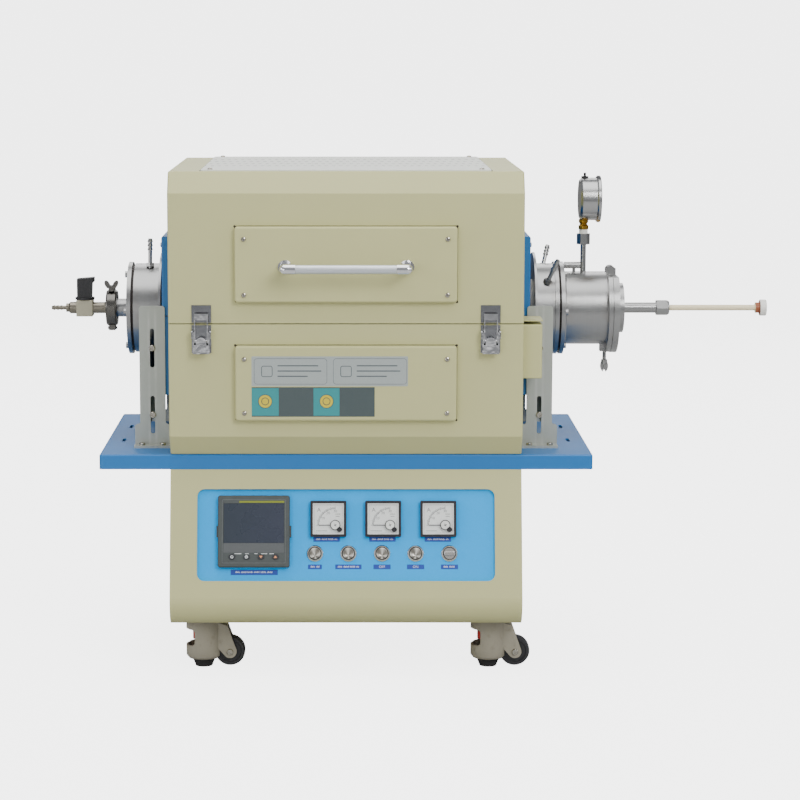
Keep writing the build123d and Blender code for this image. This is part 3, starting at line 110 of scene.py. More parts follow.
# Where one node's finishes meet, from and to.
ROD_BAND = (48.2, 53.8)             # radii of the heating rods round the chamber
ROD_HALF_LENGTH = 215.0
SEAL_RADIUS = 59.6
LEFT_SEAL = (-296.8, -293.4)
RIGHT_SEAL = (294.0, 297.0)
VALVE_BLOCK = (-376.9, -353.7)
GRIP_HALF_LENGTH = 66.0             # a chromed end begins here
TAPE_BAND = (104.0, 110.0)          # thread tape on the gauge's riser
BRASS_BAND = (110.0, 124.0)
PLUG_RISE = 29.0                    # filler plug above the gauge's middle
PAD_HEIGHT = 12.05                  # rubber pad of a levelling foot
THUMBWHEEL_BAND = (37.5, 48.5)      # heights above the floor
FOOT_PITCH = 1.5                    # of a levelling foot's thread
COLLAR_BAND = (573.0, 579.0)        # brown collar of the probe; its cap begins where this ends
TRAY_HALF_HEIGHT = 3.2              # the bare trays on both sides of the seam
WALL = 2.05                         # the hearth's sheet, and a hair


def linear(red, green, blue):
    """The shader's value of a colour named by its 0 to 255 screen levels."""
    levels = [level / 255 for level in (red, green, blue)]
    return tuple(v / 12.92 if v <= 0.04045 else ((v + 0.055) / 1.055) ** 2.4 for v in levels)


class Leaning:
    """The console's plane: right, up the slope and out of the sheet, from its top edge."""

    def __init__(self, lean):
        self.origin = Vector((0, CONSOLE_TOP_FRONT, CABINET_TOP))
        self.right = Vector((1, 0, 0))
        self.up = Vector((0, sin(lean), cos(lean)))
        self.out = Vector((0, -cos(lean), sin(lean)))

    def __call__(self, x, drop, out=0.0):
        place = self.origin + self.right * x - self.up * drop + self.out * out
        return spot(*place)

    def matrix(self, x, drop, out=0.0):
        """Turns a flat drawing in millimetres, x right and y up, onto the console."""
        turn = Matrix((self.right, self.up, self.out)).transposed().to_4x4()
        return Matrix.Translation(self(x, drop, out)) @ turn @ Matrix.Scale(MM, 4)


def facing_front(x, y, z):
    """Turns a flat drawing in millimetres to face the front, at a place."""
    upright = Matrix.Rotation(pi / 2, 4, "X")
    return Matrix.Translation(spot(x, y, z)) @ upright @ Matrix.Scale(MM, 4)


def facing_right(x, y, z):
    """Turns a flat drawing in millimetres to face the right-hand end, at a place."""
    turn = Matrix(((0, 0, 1), (1, 0, 0), (0, 1, 0))).to_4x4()
    return Matrix.Translation(spot(x, y, z)) @ turn @ Matrix.Scale(MM, 4)


def facing_up(x, y, z):
    return Matrix.Translation(spot(x, y, z)) @ Matrix.Scale(MM, 4)


# ------------------------------------------------------------------ settings
class FurnacePaints(bpy.types.PropertyGroup):
    """The colours of the furnace's coats and prints."""

    body: bpy.props.FloatVectorProperty(
        name="Body coat", description="Powder coat of the hearth and the cabinet",
        subtype="COLOR", size=3, default=linear(189, 187, 133),
    )
    shelf: bpy.props.FloatVectorProperty(
        name="Shelf coat", description="Powder coat of the shelf under the hearth",
        subtype="COLOR", size=3, default=linear(18, 108, 176),
    )
    panel: bpy.props.FloatVectorProperty(
        name="Panel print", description="Light blue ground of the control panel",
        subtype="COLOR", size=3, default=linear(0, 169, 245),
    )
    label: bpy.props.FloatVectorProperty(
        name="Label print", description="Dark blue printed fields under the instruments",
        subtype="COLOR", size=3, default=linear(24, 66, 160),
    )
    cover: bpy.props.FloatVectorProperty(
        name="End cover coat", description="Powder coat of the dished end covers",
        subtype="COLOR", size=3, default=linear(20, 99, 162),
    )
    stand: bpy.props.FloatVectorProperty(
        name="Stand coat", description="Satin coat of the flange stands",
        subtype="COLOR", size=3, default=linear(172, 176, 170),
    )
    casting: bpy.props.FloatVectorProperty(
        name="Castor coat", description="Paint on the castors' cast housings",
        subtype="COLOR", size=3, default=linear(152, 146, 129),
    )
    thumbwheel: bpy.props.FloatVectorProperty(
        name="Thumbwheel", description="Moulded red thumbwheel of each levelling foot",
        subtype="COLOR", size=3, default=linear(190, 40, 30),
    )


class FurnaceDetails(bpy.types.PropertyGroup):
    """Sizes of the small pieces that finish the furnace."""

    lean: bpy.props.FloatProperty(
        name="Console lean", description="How far the console leans out towards its foot",
        subtype="ANGLE", default=radians(14.8),
    )
    screw_radius: bpy.props.FloatProperty(
        name="Cover screw radius", description="Head radius of the screws in the front plates",
        subtype="DISTANCE", unit="LENGTH", default=3.4 * MM,
    )
    print_thickness: bpy.props.FloatProperty(
        name="Print thickness", description="How far printed fields stand off their sheet",
        subtype="DISTANCE", unit="LENGTH", default=0.15 * MM,
    )
    dial_ticks: bpy.props.IntProperty(
        name="Dial ticks", description="Marks along each meter's scale", default=31, min=2,
    )
    gauge_ticks: bpy.props.IntProperty(
        name="Gauge ticks", description="Marks round the pressure gauge", default=41, min=2,
    )
    bolt_turns: bpy.props.IntProperty(
        name="Swing bolt turns", description="Turns of thread shown on the swing bolt",
        default=12, min=1,
    )


class FurnaceStage(bpy.types.PropertyGroup):
    """Camera, lights and floor."""

    distance: bpy.props.FloatProperty(
        name="Camera distance", description="From the tube's axis to the camera, to the front",
        subtype="DISTANCE", unit="LENGTH", default=3.453,
    )
    rise: bpy.props.FloatProperty(
        name="Camera height", description="Camera above the tube's axis",
        subtype="DISTANCE", unit="LENGTH", default=0.3735,
    )
    tilt: bpy.props.FloatProperty(
        name="Camera tilt", description="Camera's turn up from straight down",
        subtype="ANGLE", default=radians(81.69),
    )
    lens: bpy.props.FloatProperty(
        name="Lens", description="Focal length of the camera, in millimetres", default=111.5,
    )
    shift: bpy.props.FloatProperty(
        name="Shift", description="Sideways shift of the picture", default=0.0675,
    )
    key_light: bpy.props.FloatProperty(
        name="Key light", description="Power of the light over the front right, in watts",
        default=64.0,
    )
    top_light: bpy.props.FloatProperty(
        name="Top light", description="Power of the large light overhead, in watts", default=66.0,
    )
    fill_light: bpy.props.FloatProperty(
        name="Fill light", description="Power of the two side lights, in watts", default=20.0,
    )
    sky: bpy.props.FloatProperty(
        name="Sky", description="Strength of the even light from all round", default=0.42,
    )
    paper_glow: bpy.props.FloatProperty(
        name="Paper glow", description="Light behind the paper, seen by the camera alone",
        default=4.0,
    )
    back_light: bpy.props.FloatProperty(
        name="Back light", description="Power of the light over the back, in watts", default=34.0,
    )
    front_light: bpy.props.FloatProperty(
        name="Front light", description="Power of the low light at the front left, in watts",
        default=22.0,
    )


# ------------------------------------------------------------------ shader maths
class Wire:
    """An output socket of a shader tree that takes part in plain Python sums."""

    def __init__(self, tree, socket):
        self.tree = tree
        self.socket = socket

    def maths(self, operation, *values, clamp=False):
        node = self.tree.nodes.new("ShaderNodeMath")
        node.operation = operation
        node.use_clamp = clamp
        for slot, value in zip(node.inputs, values):
            if isinstance(value, Wire):
                self.tree.links.new(value.socket, slot)
            else:
                slot.default_value = value
        return Wire(self.tree, node.outputs[0])

    def __add__(self, other):
        return self.maths("ADD", self, other)

    def __radd__(self, other):
        return self.maths("ADD", other, self)

    def __sub__(self, other):
        return self.maths("SUBTRACT", self, other)

    def __rsub__(self, other):
        return self.maths("SUBTRACT", other, self)

    def __mul__(self, other):
        return self.maths("MULTIPLY", self, other)

    def __rmul__(self, other):
        return self.maths("MULTIPLY", other, self)

    def __truediv__(self, other):
        return self.maths("DIVIDE", self, other)

    def __rtruediv__(self, other):
        return self.maths("DIVIDE", other, self)

    def __pow__(self, other):
        return self.maths("POWER", self, other)

    def __abs__(self):
        return self.maths("ABSOLUTE", self)

    def __gt__(self, other):
        return self.maths("GREATER_THAN", self, other)

    def __lt__(self, other):
        return self.maths("LESS_THAN", self, other)

    def clamped(self):
        return self.maths("ADD", self, 0.0, clamp=True)

    def between(self, start, end):
        """1 where start < self < end, and 0 elsewhere."""
        return (self > start) * (self < end)

    def wave(self):
        return self.maths("SINE", self)


class Finish:
    """A material under construction: places, noises and masks feed its one shader."""

    def __init__(self, name, color=(0.5, 0.5, 0.5), **constants):
        self.material = bpy.data.materials.new(name)
        self.material.use_nodes = True
        self.tree = self.material.node_tree
        self.shader = self.tree.nodes["Principled BSDF"]
        self.shader.inputs["Base Color"].default_value = (*color, 1)
        self.material.diffuse_color = (*color, 1)
        for socket, value in constants.items():
            plain = socket.replace("_", " ").title().replace("Ior", "IOR")
            self.shader.inputs[plain].default_value = value

    def node(self, kind, settings=None, sockets=None, output=0):
        """Any node: its settings first, then the values or wires of its sockets."""
        node = self.tree.nodes.new(kind)
        for key, value in (settings or {}).items():
            if key == "stops":
                ramp = node.color_ramp.elements
                while len(ramp) < len(value):
                    ramp.new(0.5)
                for element, (position, color) in zip(ramp, value):
                    element.position = position
                    element.color = (*color, 1)
            else:
                setattr(node, key, value)
        for key, value in (sockets or {}).items():
            self.feed(node.inputs[key], value)
        return Wire(self.tree, node.outputs[output])

    def feed(self, socket, value):
        if isinstance(value, Wire):
            self.tree.links.new(value.socket, socket)
        elif isinstance(value, tuple) and len(value) == 3 and socket.type == "RGBA":
            socket.default_value = (*value, 1)
        else:
            socket.default_value = value

    def place(self):
        """Millimetres from the tube's middle, as x, y and z wires and as a vector."""
        spot_wire = self.node("ShaderNodeTexCoord", output="Object")
        moved = self.node("ShaderNodeMapping", {"vector_type": "TEXTURE"}, {
            "Vector": spot_wire, "Location": tuple(AXIS), "Scale": (MM, MM, MM),
        })
        parts = [
            self.node("ShaderNodeSeparateXYZ", {}, {"Vector": moved}, output=axis)
            for axis in ("X", "Y", "Z")
        ]
        return (*parts, moved)

    def noise(self, size, vector, detail=2.0, stretch=None, roughness=0.5):
        """Soft noise from 0 to 1 whose lumps are about size millimetres across."""
        if stretch:
            vector = self.node("ShaderNodeMapping", {}, {"Vector": vector, "Scale": stretch})
        return self.node("ShaderNodeTexNoise", {}, {
            "Vector": vector, "Scale": 1.0 / size, "Detail": detail, "Roughness": roughness,
        })

    def mix(self, factor, first, second):
        node = self.tree.nodes.new("ShaderNodeMix")
        node.data_type = "RGBA"
        self.feed(node.inputs[0], factor)
        self.feed(node.inputs[6], first)
        self.feed(node.inputs[7], second)
        return Wire(self.tree, node.outputs[2])

    def vector(self, x, y, z):
        return self.node("ShaderNodeCombineXYZ", {}, {"X": x, "Y": y, "Z": z})

    def color(self, value):
        self.feed(self.shader.inputs["Base Color"], value)

    def rough(self, value):
        self.feed(self.shader.inputs["Roughness"], value)

    def metal(self, value):
        self.feed(self.shader.inputs["Metallic"], value)

    def bump(self, height, depth, strength=1.0):
        """Raises the surface by height wires of depth millimetres."""
        normal = self.node("ShaderNodeBump", {}, {
            "Height": height, "Distance": depth * MM, "Strength": strength,
        }, output="Normal")
        self.feed(self.shader.inputs["Normal"], normal)


# ------------------------------------------------------------------ finishes
STEEL = (0.36, 0.36, 0.355)


def tinted(color, factor):
    return tuple(min(1.0, c * factor) for c in color)


def coat_skin(name, color):
    """Starts a powder coat: the finish, its place wires, cloudiness, specks and colour."""
    coat = Finish(name, color, coat_weight=0.06, coat_roughness=0.25)
    x, y, z, place = coat.place()
    cloud = coat.noise(70, place, 3)
    speck = coat.noise(1.6, place, 2)
    painted = coat.mix(cloud * 0.5 + speck * 0.2, tinted(color, 0.96), tinted(color, 1.05))
    coat.bump(coat.noise(0.9, place, 2) * 0.6 + coat.noise(4.0, place, 1) * 0.4, 0.045)
    return coat, (x, y, z, place), cloud * 0.08 + speck * 0.05, painted


def powder_coat(name, color, gloss=0.42):
    """Baked powder coat: fine orange peel, faint cloudiness and dust in the low places."""
    coat, _, dust, painted = coat_skin(name, color)
    coat.color(painted)
    coat.rough(gloss + dust)
    return coat.material


def seamed_coat(name, color):
    """Body coat outside, and bare zinc on the trays that close a half at the seam."""
    coat, (x, y, z, place), dust, painted = coat_skin(name, color)
    inside = (abs(z) < TRAY_HALF_HEIGHT) * (abs(x) < HALF_WIDTH - WALL)
    inside = inside * (y > HEARTH_FRONT + WALL) * (y < HEARTH_BACK - WALL)
    spangle = coat.noise(9, place, 1, roughness=0.2)
    zinc = coat.mix(spangle, linear(184, 186, 180), linear(222, 224, 218))
    coat.color(coat.mix(inside, painted, zinc))
    coat.metal(inside * 1.0)
    coat.rough(0.42 + dust - inside * 0.06)
    return coat.material


def ringed(steel, x, y, z, place):
    """The fine rings that a lathe leaves about the tube's axis, and a slow change of sheen."""
    radius = (y * y + z * z) ** 0.5
    rings = steel.noise(0.55, steel.vector(x, radius, 0.0), 3, roughness=0.7)
    sheen = steel.noise(24, place, 2)
    return radius, rings, sheen


def turned_steel(name, color=STEEL, gloss=0.27):
    """Lathe-turned stainless steel."""
    steel = Finish(name, color, metallic=1.0)
    _, rings, sheen = ringed(steel, *steel.place())
    steel.color(steel.mix(rings * 0.6 + sheen * 0.4, tinted(color, 0.80), tinted(color, 1.14)))
    steel.rough(gloss - 0.06 + rings * 0.12 + sheen * 0.08)
    steel.bump(rings, 0.03)
    return steel.material


def plain_steel(name, color=STEEL, gloss=0.25):
    """Drawn or sawn steel with marks all ways, for small turned and pressed pieces."""
    steel = Finish(name, color, metallic=1.0)
    *_, place = steel.place()
    marks = steel.noise(0.8, place, 3, stretch=(1, 1, 0.25))
    steel.color(steel.mix(marks, tinted(color, 0.82), tinted(color, 1.15)))
    steel.rough(gloss - 0.05 + marks * 0.14)
    steel.bump(marks, 0.02)
    return steel.material


def polished_metal(name, color, gloss=0.07, ripples=0.12):
    """Chrome plate with faint ripples from the pressing under it."""
    chrome = Finish(name, color, metallic=1.0)
    *_, place = chrome.place()
    ripple = chrome.noise(9, place, 2)
    smear = chrome.noise(2.5, place, 3)
    chrome.color(chrome.mix(smear, tinted(color, 0.93), tinted(color, 1.05)))
    chrome.rough(gloss + smear * 0.07)
    chrome.bump(ripple, ripples)
    return chrome.material


def moulded(name, color, gloss=0.45, grain=0.5):
    """Moulded plastic or rubber with a spark-eroded grain."""
    plastic = Finish(name, color, specular_ior_level=0.45)
    *_, place = plastic.place()
    speck = plastic.noise(grain, place, 2)
    cloud = plastic.noise(18, place, 2)
    plastic.color(plastic.mix(cloud, tinted(color, 0.85), tinted(color, 1.2)))
    plastic.rough(gloss + speck * 0.1)
    plastic.bump(speck, 0.03)
    return plastic.material


def cast_paint(name, color):
    """Thick paint over a rough sand casting, greyer where hands and floors touch it."""
    paint = Finish(name, color)
    *_, place = paint.place()
    sand = paint.noise(1.3, place, 4, roughness=0.65)
    worn = paint.noise(11, place, 4)
    grime = ((worn - 0.56) * 6.0).clamped()
    base = paint.mix(sand, tinted(color, 0.86), tinted(color, 1.1))
    paint.color(paint.mix(grime * 0.45, base, tinted(color, 0.55)))
    paint.rough(0.5 + sand * 0.18)
    paint.bump(sand, 0.22)
    return paint.material


def flat_print(name, color, gloss=0.5, shine=0.5):
    """Screen print on a smooth sheet."""
    ink = Finish(name, color, specular_ior_level=shine)
    *_, place = ink.place()
    mottle = ink.noise(2.2, place, 3)
    ink.color(ink.mix(mottle, tinted(color, 0.94), tinted(color, 1.06)))
    ink.rough(gloss - 0.04 + mottle * 0.08)
    ink.bump(mottle, 0.008)
    return ink.material


def clear_glass(name):
    glass = Finish(name, (0.96, 0.98, 0.98), roughness=0.03, alpha=0.1, specular_ior_level=0.6)
    *_, place = glass.place()
    glass.rough(0.02 + glass.noise(14, place, 3) * 0.04)
    return glass.material


def ceramic_fibre(name):
    """White fibre board, scorched round the chamber and grey behind its rods."""
    board = Finish(name, linear(236, 232, 220), roughness=0.95)
    x, y, z, place = board.place()
    radius = (y * y + z * z) ** 0.5
    strand = board.noise(3.5, place, 5, stretch=(0.25, 1, 1), roughness=0.7)
    lump = board.noise(22, place, 3)
    rods = radius.between(*ROD_BAND) * (abs(x) < ROD_HALF_LENGTH)
    scorch = (1 - (abs(radius - 50) / 26).clamped()) * 0.35
    base = board.mix(strand * 0.5 + lump * 0.5, linear(222, 216, 200), linear(246, 243, 234))
    base = board.mix(scorch, base, linear(150, 128, 100))
    board.color(board.mix(rods * 0.15, base, linear(90, 84, 80)))
    board.rough(0.9 + strand * 0.08)
    board.bump(strand * 0.7 + lump * 0.3, 0.6)
    return board.material


def tube_ceramic(name):
    """Dense sintered alumina: cream, faintly banded by the heat."""
    tube = Finish(name, linear(238, 230, 208))
    x, _, _, place = tube.place()
    band = tube.noise(38, tube.vector(x, 0.0, 0.0), 2)
    speck = tube.noise(1.1, place, 3)
    tube.color(tube.mix(band * 0.6 + speck * 0.3, linear(228, 216, 190), linear(246, 241, 226)))
    tube.rough(0.34 + speck * 0.1)
    tube.bump(speck, 0.03)
    return tube.material


def flange_steel(name, seal_band):
    """Turned flange whose seal shows as a dark rubber ring between two faces."""
    steel = Finish(name, STEEL)
    x, y, z, place = steel.place()
    radius, rings, sheen = ringed(steel, x, y, z, place)
    seal = x.between(*seal_band) * (radius < SEAL_RADIUS)
    heat = ((steel.noise(30, place, 3) - 0.55) * 4.0).clamped() * 0.3
    bright = steel.mix(rings * 0.6 + sheen * 0.4, tinted(STEEL, 0.78), tinted(STEEL, 1.15))
    bright = steel.mix(heat, bright, linear(128, 114, 92))
    steel.color(steel.mix(seal, bright, linear(44, 34, 30)))
    steel.metal(1 - seal)
    steel.rough(0.20 + rings * 0.13 + sheen * 0.08 + seal * 0.3)
    steel.bump(rings, 0.03)
    return steel.material


def handle_finish(name, coat):
    """Coated plate, satin grey grip and two chromed ends, told apart by their place."""
    handle = Finish(name, coat, coat_weight=0.05)
    x, y, _, place = handle.place()
    proud = y < PLATE_FRONT - 0.05
    grip = proud * (abs(x) < GRIP_HALF_LENGTH)
    chrome = proud * (abs(x) > GRIP_HALF_LENGTH)
    cloud = handle.noise(70, place, 3)
    drawn = handle.noise(0.6, place, 3, stretch=(0.04, 1, 1))
    painted = handle.mix(cloud, tinted(coat, 0.96), tinted(coat, 1.05))
    satin = handle.mix(drawn, linear(196, 200, 204), linear(226, 229, 232))
    color = handle.mix(grip, painted, satin)
    handle.color(handle.mix(chrome, color, linear(226, 226, 228)))
    handle.metal(proud * 1.0 - grip * 0.25)
    handle.rough(0.45 - grip * 0.12 - chrome * 0.36 + drawn * 0.06)
    handle.bump(handle.noise(0.9, place, 2) * (1 - proud), 0.04)
    return handle.material


def gauge_finish(name):
    """Polished case on a brass socket, with white thread tape and a black filler plug."""
    gauge = Finish(name, STEEL)
    _, _, z, place = gauge.place()
    brass = z.between(*BRASS_BAND)
    tape = z.between(*TAPE_BAND)
    plug = z > GAUGE_RISE + PLUG_RISE
    marks = gauge.noise(0.8, place, 3)
    steel = gauge.mix(marks, tinted(STEEL, 0.95), tinted(STEEL, 1.3))
    color = gauge.mix(brass, steel, gauge.mix(marks, linear(150, 112, 36), linear(186, 148, 62)))
    color = gauge.mix(tape, color, linear(232, 230, 222))
    gauge.color(gauge.mix(plug, color, linear(26, 26, 28)))
    gauge.metal(1 - (tape + plug).clamped())
    gauge.rough(0.17 + marks * 0.12 + tape * 0.4 + plug * 0.35)
    gauge.bump(marks + tape * gauge.noise(1.2, place, 3, stretch=(1, 1, 3)) * 4.0, 0.03)
    return gauge.material


def foot_finish(name, red):
    """Black rubber pad, red moulded thumbwheel and a zinc screw, told apart by height."""
    foot = Finish(name, linear(28, 28, 28))
    _, _, z, place = foot.place()
    height = z - FLOOR
    pad = height < PAD_HEIGHT
    wheel = height.between(*THUMBWHEEL_BAND)
    metal = 1 - (pad + wheel).clamped()
    speck = foot.noise(1.4, place, 3)
    thread = ((height * (2 * pi / FOOT_PITCH)).wave() + 1.0) * 0.5
    steel = foot.mix(speck, linear(150, 148, 140), linear(196, 194, 188))
    color = foot.mix(wheel, steel, foot.mix(speck, tinted(red, 0.8), tinted(red, 1.1)))
    foot.color(foot.mix(pad, color, foot.mix(speck, linear(22, 22, 23), linear(46, 45, 44))))
    foot.metal(metal)
    foot.rough(0.32 + speck * 0.15 + pad * 0.35 + wheel * 0.12)
    foot.bump(speck * 0.3 + thread * metal, 0.35)
    return foot.material


def probe_finish(name):
    """Cream ceramic sheath, brown collar and white cap, told apart along the probe."""
    probe = Finish(name, linear(240, 226, 186))
    x, _, _, place = probe.place()
    collar = x.between(*COLLAR_BAND)
    cap = x > COLLAR_BAND[1]
    speck = probe.noise(1.5, place, 3)
    band = probe.noise(30, probe.vector(x, 0.0, 0.0), 2)
    sheath = probe.mix(band * 0.5 + speck * 0.4, linear(232, 214, 170), linear(248, 238, 208))
    color = probe.mix(collar, sheath, linear(150, 84, 52))
    white = probe.mix(speck, linear(228, 226, 218), linear(246, 244, 238))
    probe.color(probe.mix(cap, color, white))
    probe.rough(0.38 + speck * 0.12)
    probe.bump(speck, 0.04)
    return probe.material


def valve_finish(name):
    """Greige painted valve block between nickelled pipe ends."""
    valve = Finish(name, linear(196, 190, 172))
    x, _, _, place = valve.place()
    block = x.between(*VALVE_BLOCK)
    marks = valve.noise(0.7, place, 3)
    nickel = valve.mix(marks, linear(104, 100, 90), linear(152, 146, 132))
    painted = valve.mix(marks, linear(146, 142, 120), linear(174, 169, 148))
    valve.color(valve.mix(block, nickel, painted))
    valve.metal((1 - block) * 0.95 + 0.05)
    valve.rough(0.24 + marks * 0.14 + block * 0.2)
    valve.bump(marks, 0.06)
    return valve.material


def button_finish(name, middle, phase):
    """Spun steel cap: fine rings, and a painted highlight in its colour, a cross of four bright
    arms that stands in for the light they catch.
    """
    cap = Finish(name, STEEL, metallic=0.7)
    x, _, z, _ = cap.place()
    across, up = x - middle.x, z - middle.z
    angle = cap.node("ShaderNodeMath", {"operation": "ARCTAN2"}, {0: up, 1: across})
    # painted highlight: four bright arms about the cap's middle, turned from cap to cap by the
    # phase
    painted_highlight_lobes = ((angle * 4.0 + phase).wave() + 1.0) * 0.5
    radius = (across * across + up * up) ** 0.5
    rings = cap.noise(0.35, cap.vector(radius, 0.0, 0.0), 2)
    highlight_and_rings = painted_highlight_lobes * painted_highlight_lobes * 0.8 + rings * 0.2
    cap.color(cap.mix(highlight_and_rings, linear(96, 92, 84), linear(242, 238, 228)))
    cap.rough(0.24 + rings * 0.12)
    cap.bump(rings, 0.03)
    return cap.material


def vent_finish(name, color):
    """Pale coat on the perforated top plate, with painted shade down the wall of each hole and in
    a dark ring round its rim.
    """
    coat = Finish(name, color, coat_weight=0.05, coat_roughness=0.3)
    x, y, _, place = coat.place()
    pitch = VENT_PITCH
    hole_shade = 0.0
    for row in range(VENT_ROWS):
        side = 1 if row % 2 else -1
        shifted = x - side * pitch / 4 + pitch * 100
        column = coat.node("ShaderNodeMath", {"operation": "MODULO"}, {0: shifted, 1: pitch})
        across = column - pitch / 2
        along = y - (VENT_FIRST_ROW + row * VENT_ROW_PITCH)
        # painted shade: each hole and a ring round its rim go dark, and rougher
        hole_shade = ((across * across + along * along) ** 0.5 < VENT_SHADE_RADIUS) + hole_shade
    cloud = coat.noise(70, place, 3)
    grain = coat.noise(0.9, place, 2)
    base = coat.mix(cloud, tinted(color, 0.96), tinted(color, 1.03))
    coat.color(coat.mix(hole_shade.clamped(), base, linear(30, 30, 28)))
    coat.rough(0.4 + cloud * 0.08 + hole_shade.clamped() * 0.5)
    coat.bump(grain, 0.04)
    return coat.material


def stand_finish(name, color):
    """Satin grey sheet, rubbed bright round its slots and edges."""
    sheet = Finish(name, color, metallic=0.35)
    x, _, _, place = sheet.place()
    grain = sheet.noise(0.9, place, 3, stretch=(1, 1, 0.12))
    cloud = sheet.noise(30, place, 3)
    from_slot = abs(abs(x) - STAND_X)
    rubbed = (1 - (abs(from_slot - 4.5) / 2.5).clamped()) * ((cloud - 0.35) * 3).clamped()
    base = sheet.mix(grain * 0.6 + cloud * 0.4, tinted(color, 0.9), tinted(color, 1.08))
    sheet.color(sheet.mix(rubbed * 0.35, base, linear(222, 222, 220)))
    sheet.rough(0.36 + grain * 0.14)
    sheet.bump(grain, 0.03)
    return sheet.material


# ------------------------------------------------------------------ meshes
def settle(name, mesh, material, body):
    """Makes a finished mesh a piece that rides on a body."""
    piece = bpy.data.objects.new(name, mesh)
    bpy.context.scene.collection.objects.link(piece)
    mesh.materials.clear()
    mesh.materials.append(material)
    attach(piece, body)
    return piece


def mesh_from(shape, name, matrix=None):
    """A plain mesh from a bmesh, with its faces outwards, moved into place."""
    bmesh.ops.recalc_face_normals(shape, faces=shape.faces)
    mesh = bpy.data.meshes.new(name)
    if matrix is not None:
        shape.transform(matrix)
    shape.to_mesh(mesh)
    shape.free()
    return mesh


def rounded(width, height, radius, steps=5, x=0.0, y=0.0):
    """Corner-rounded rectangle as a list of (x, y) in millimetres."""
    outline = []
    for quarter, (sx, sy) in enumerate(((1, 1), (-1, 1), (-1, -1), (1, -1))):
        cx, cy = x + sx * (width / 2 - radius), y + sy * (height / 2 - radius)
        for step in range(steps + 1):
            angle = (quarter + step / steps) * pi / 2
            outline.append((cx + radius * cos(angle), cy + radius * sin(angle)))
    return outline


def add_slab(shape, outline, z0, z1):
    """A closed flat slab over an outline, from z0 to z1."""
    bottom = [shape.verts.new((x, y, z0)) for x, y in outline]
    top = [shape.verts.new((x, y, z1)) for x, y in outline]
    shape.faces.new(list(reversed(bottom)))
    shape.faces.new(top)
    count = len(outline)
    for i in range(count):
        j = (i + 1) % count
        shape.faces.new((bottom[i], bottom[j], top[j], top[i]))


def add_frame(shape, outer, inner, z0, z1):
    """A closed flat frame between two outlines with as many points each."""
    rings = [
        [shape.verts.new((x, y, z)) for x, y in outline]
        for outline, z in ((outer, z0), (outer, z1), (inner, z1), (inner, z0))
    ]
    count = len(outer)
    for a, b in zip(rings, rings[1:] + rings[:1]):
        for i in range(count):
            j = (i + 1) % count
            shape.faces.new((a[i], a[j], b[j], b[i]))


def add_lathe(shape, profile, steps=48, centre=(0.0, 0.0)):
    """Turns a profile of (radius, z) about z: closed where it starts and ends on the axis."""
    rows = []
    for radius, z in profile:
        if radius < 1e-6:
            rows.append([shape.verts.new((centre[0], centre[1], z))])
        else:
            rows.append([
                shape.verts.new((
                    centre[0] + radius * cos(2 * pi * i / steps),
                    centre[1] + radius * sin(2 * pi * i / steps), z,
                ))
                for i in range(steps)
            ])
    for a, b in zip(rows, rows[1:]):
        for i in range(steps):
            j = (i + 1) % steps
            if len(a) == 1 and len(b) > 1:
                shape.faces.new((a[0], b[i], b[j]))
            elif len(b) == 1 and len(a) > 1:
                shape.faces.new((a[i], a[j], b[0]))
            elif len(a) > 1:
                shape.faces.new((a[i], a[j], b[j], b[i]))


def disc_outline(radius, steps=48, x=0.0, y=0.0):
    return [
        (x + radius * cos(2 * pi * i / steps), y + radius * sin(2 * pi * i / steps))
        for i in range(steps)
    ]


def lettering(text, size, matrix, thickness=0.1):
    """A generic figure or letter as a mesh, size millimetres high, centred on the matrix."""
    curve = bpy.data.curves.new("figure", "FONT")
    curve.body = text
    curve.size = size * 1.4
    curve.align_x = "CENTER"
    curve.align_y = "CENTER"
    curve.extrude = thickness / 2
    curve.resolution_u = 3
    holder = bpy.data.objects.new("figure", curve)
    bpy.context.scene.collection.objects.link(holder)
    bpy.context.view_layer.update()
    depsgraph = bpy.context.evaluated_depsgraph_get()
    mesh = bpy.data.meshes.new_from_object(holder.evaluated_get(depsgraph))
    bpy.data.objects.remove(holder)
    bpy.data.curves.remove(curve)
    mesh.transform(matrix)
    return mesh


def carved(piece, tool, name):
    """The mesh of a linked object with another one cut away from it; both go."""
    shape = bmesh.new()
    shape.from_mesh(piece.data)
    bmesh.ops.remove_doubles(shape, verts=shape.verts, dist=1e-6)
    shape.to_mesh(piece.data)
    shape.free()
    modifier = piece.modifiers.new("cut", "BOOLEAN")
    modifier.operation = "DIFFERENCE"
    modifier.solver = "EXACT"
    modifier.object = tool
    bpy.context.view_layer.update()
    depsgraph = bpy.context.evaluated_depsgraph_get()
    mesh = bpy.data.meshes.new_from_object(piece.evaluated_get(depsgraph))
    mesh.name = name
    bpy.data.objects.remove(piece)
    bpy.data.objects.remove(tool)
    return mesh


def merged(meshes, name):
    """Several meshes as one."""
    shape = bmesh.new()
    for mesh in meshes:
        shape.from_mesh(mesh)
        bpy.data.meshes.remove(mesh)
    whole = bpy.data.meshes.new(name)
    shape.to_mesh(whole)
    shape.free()
    return whole


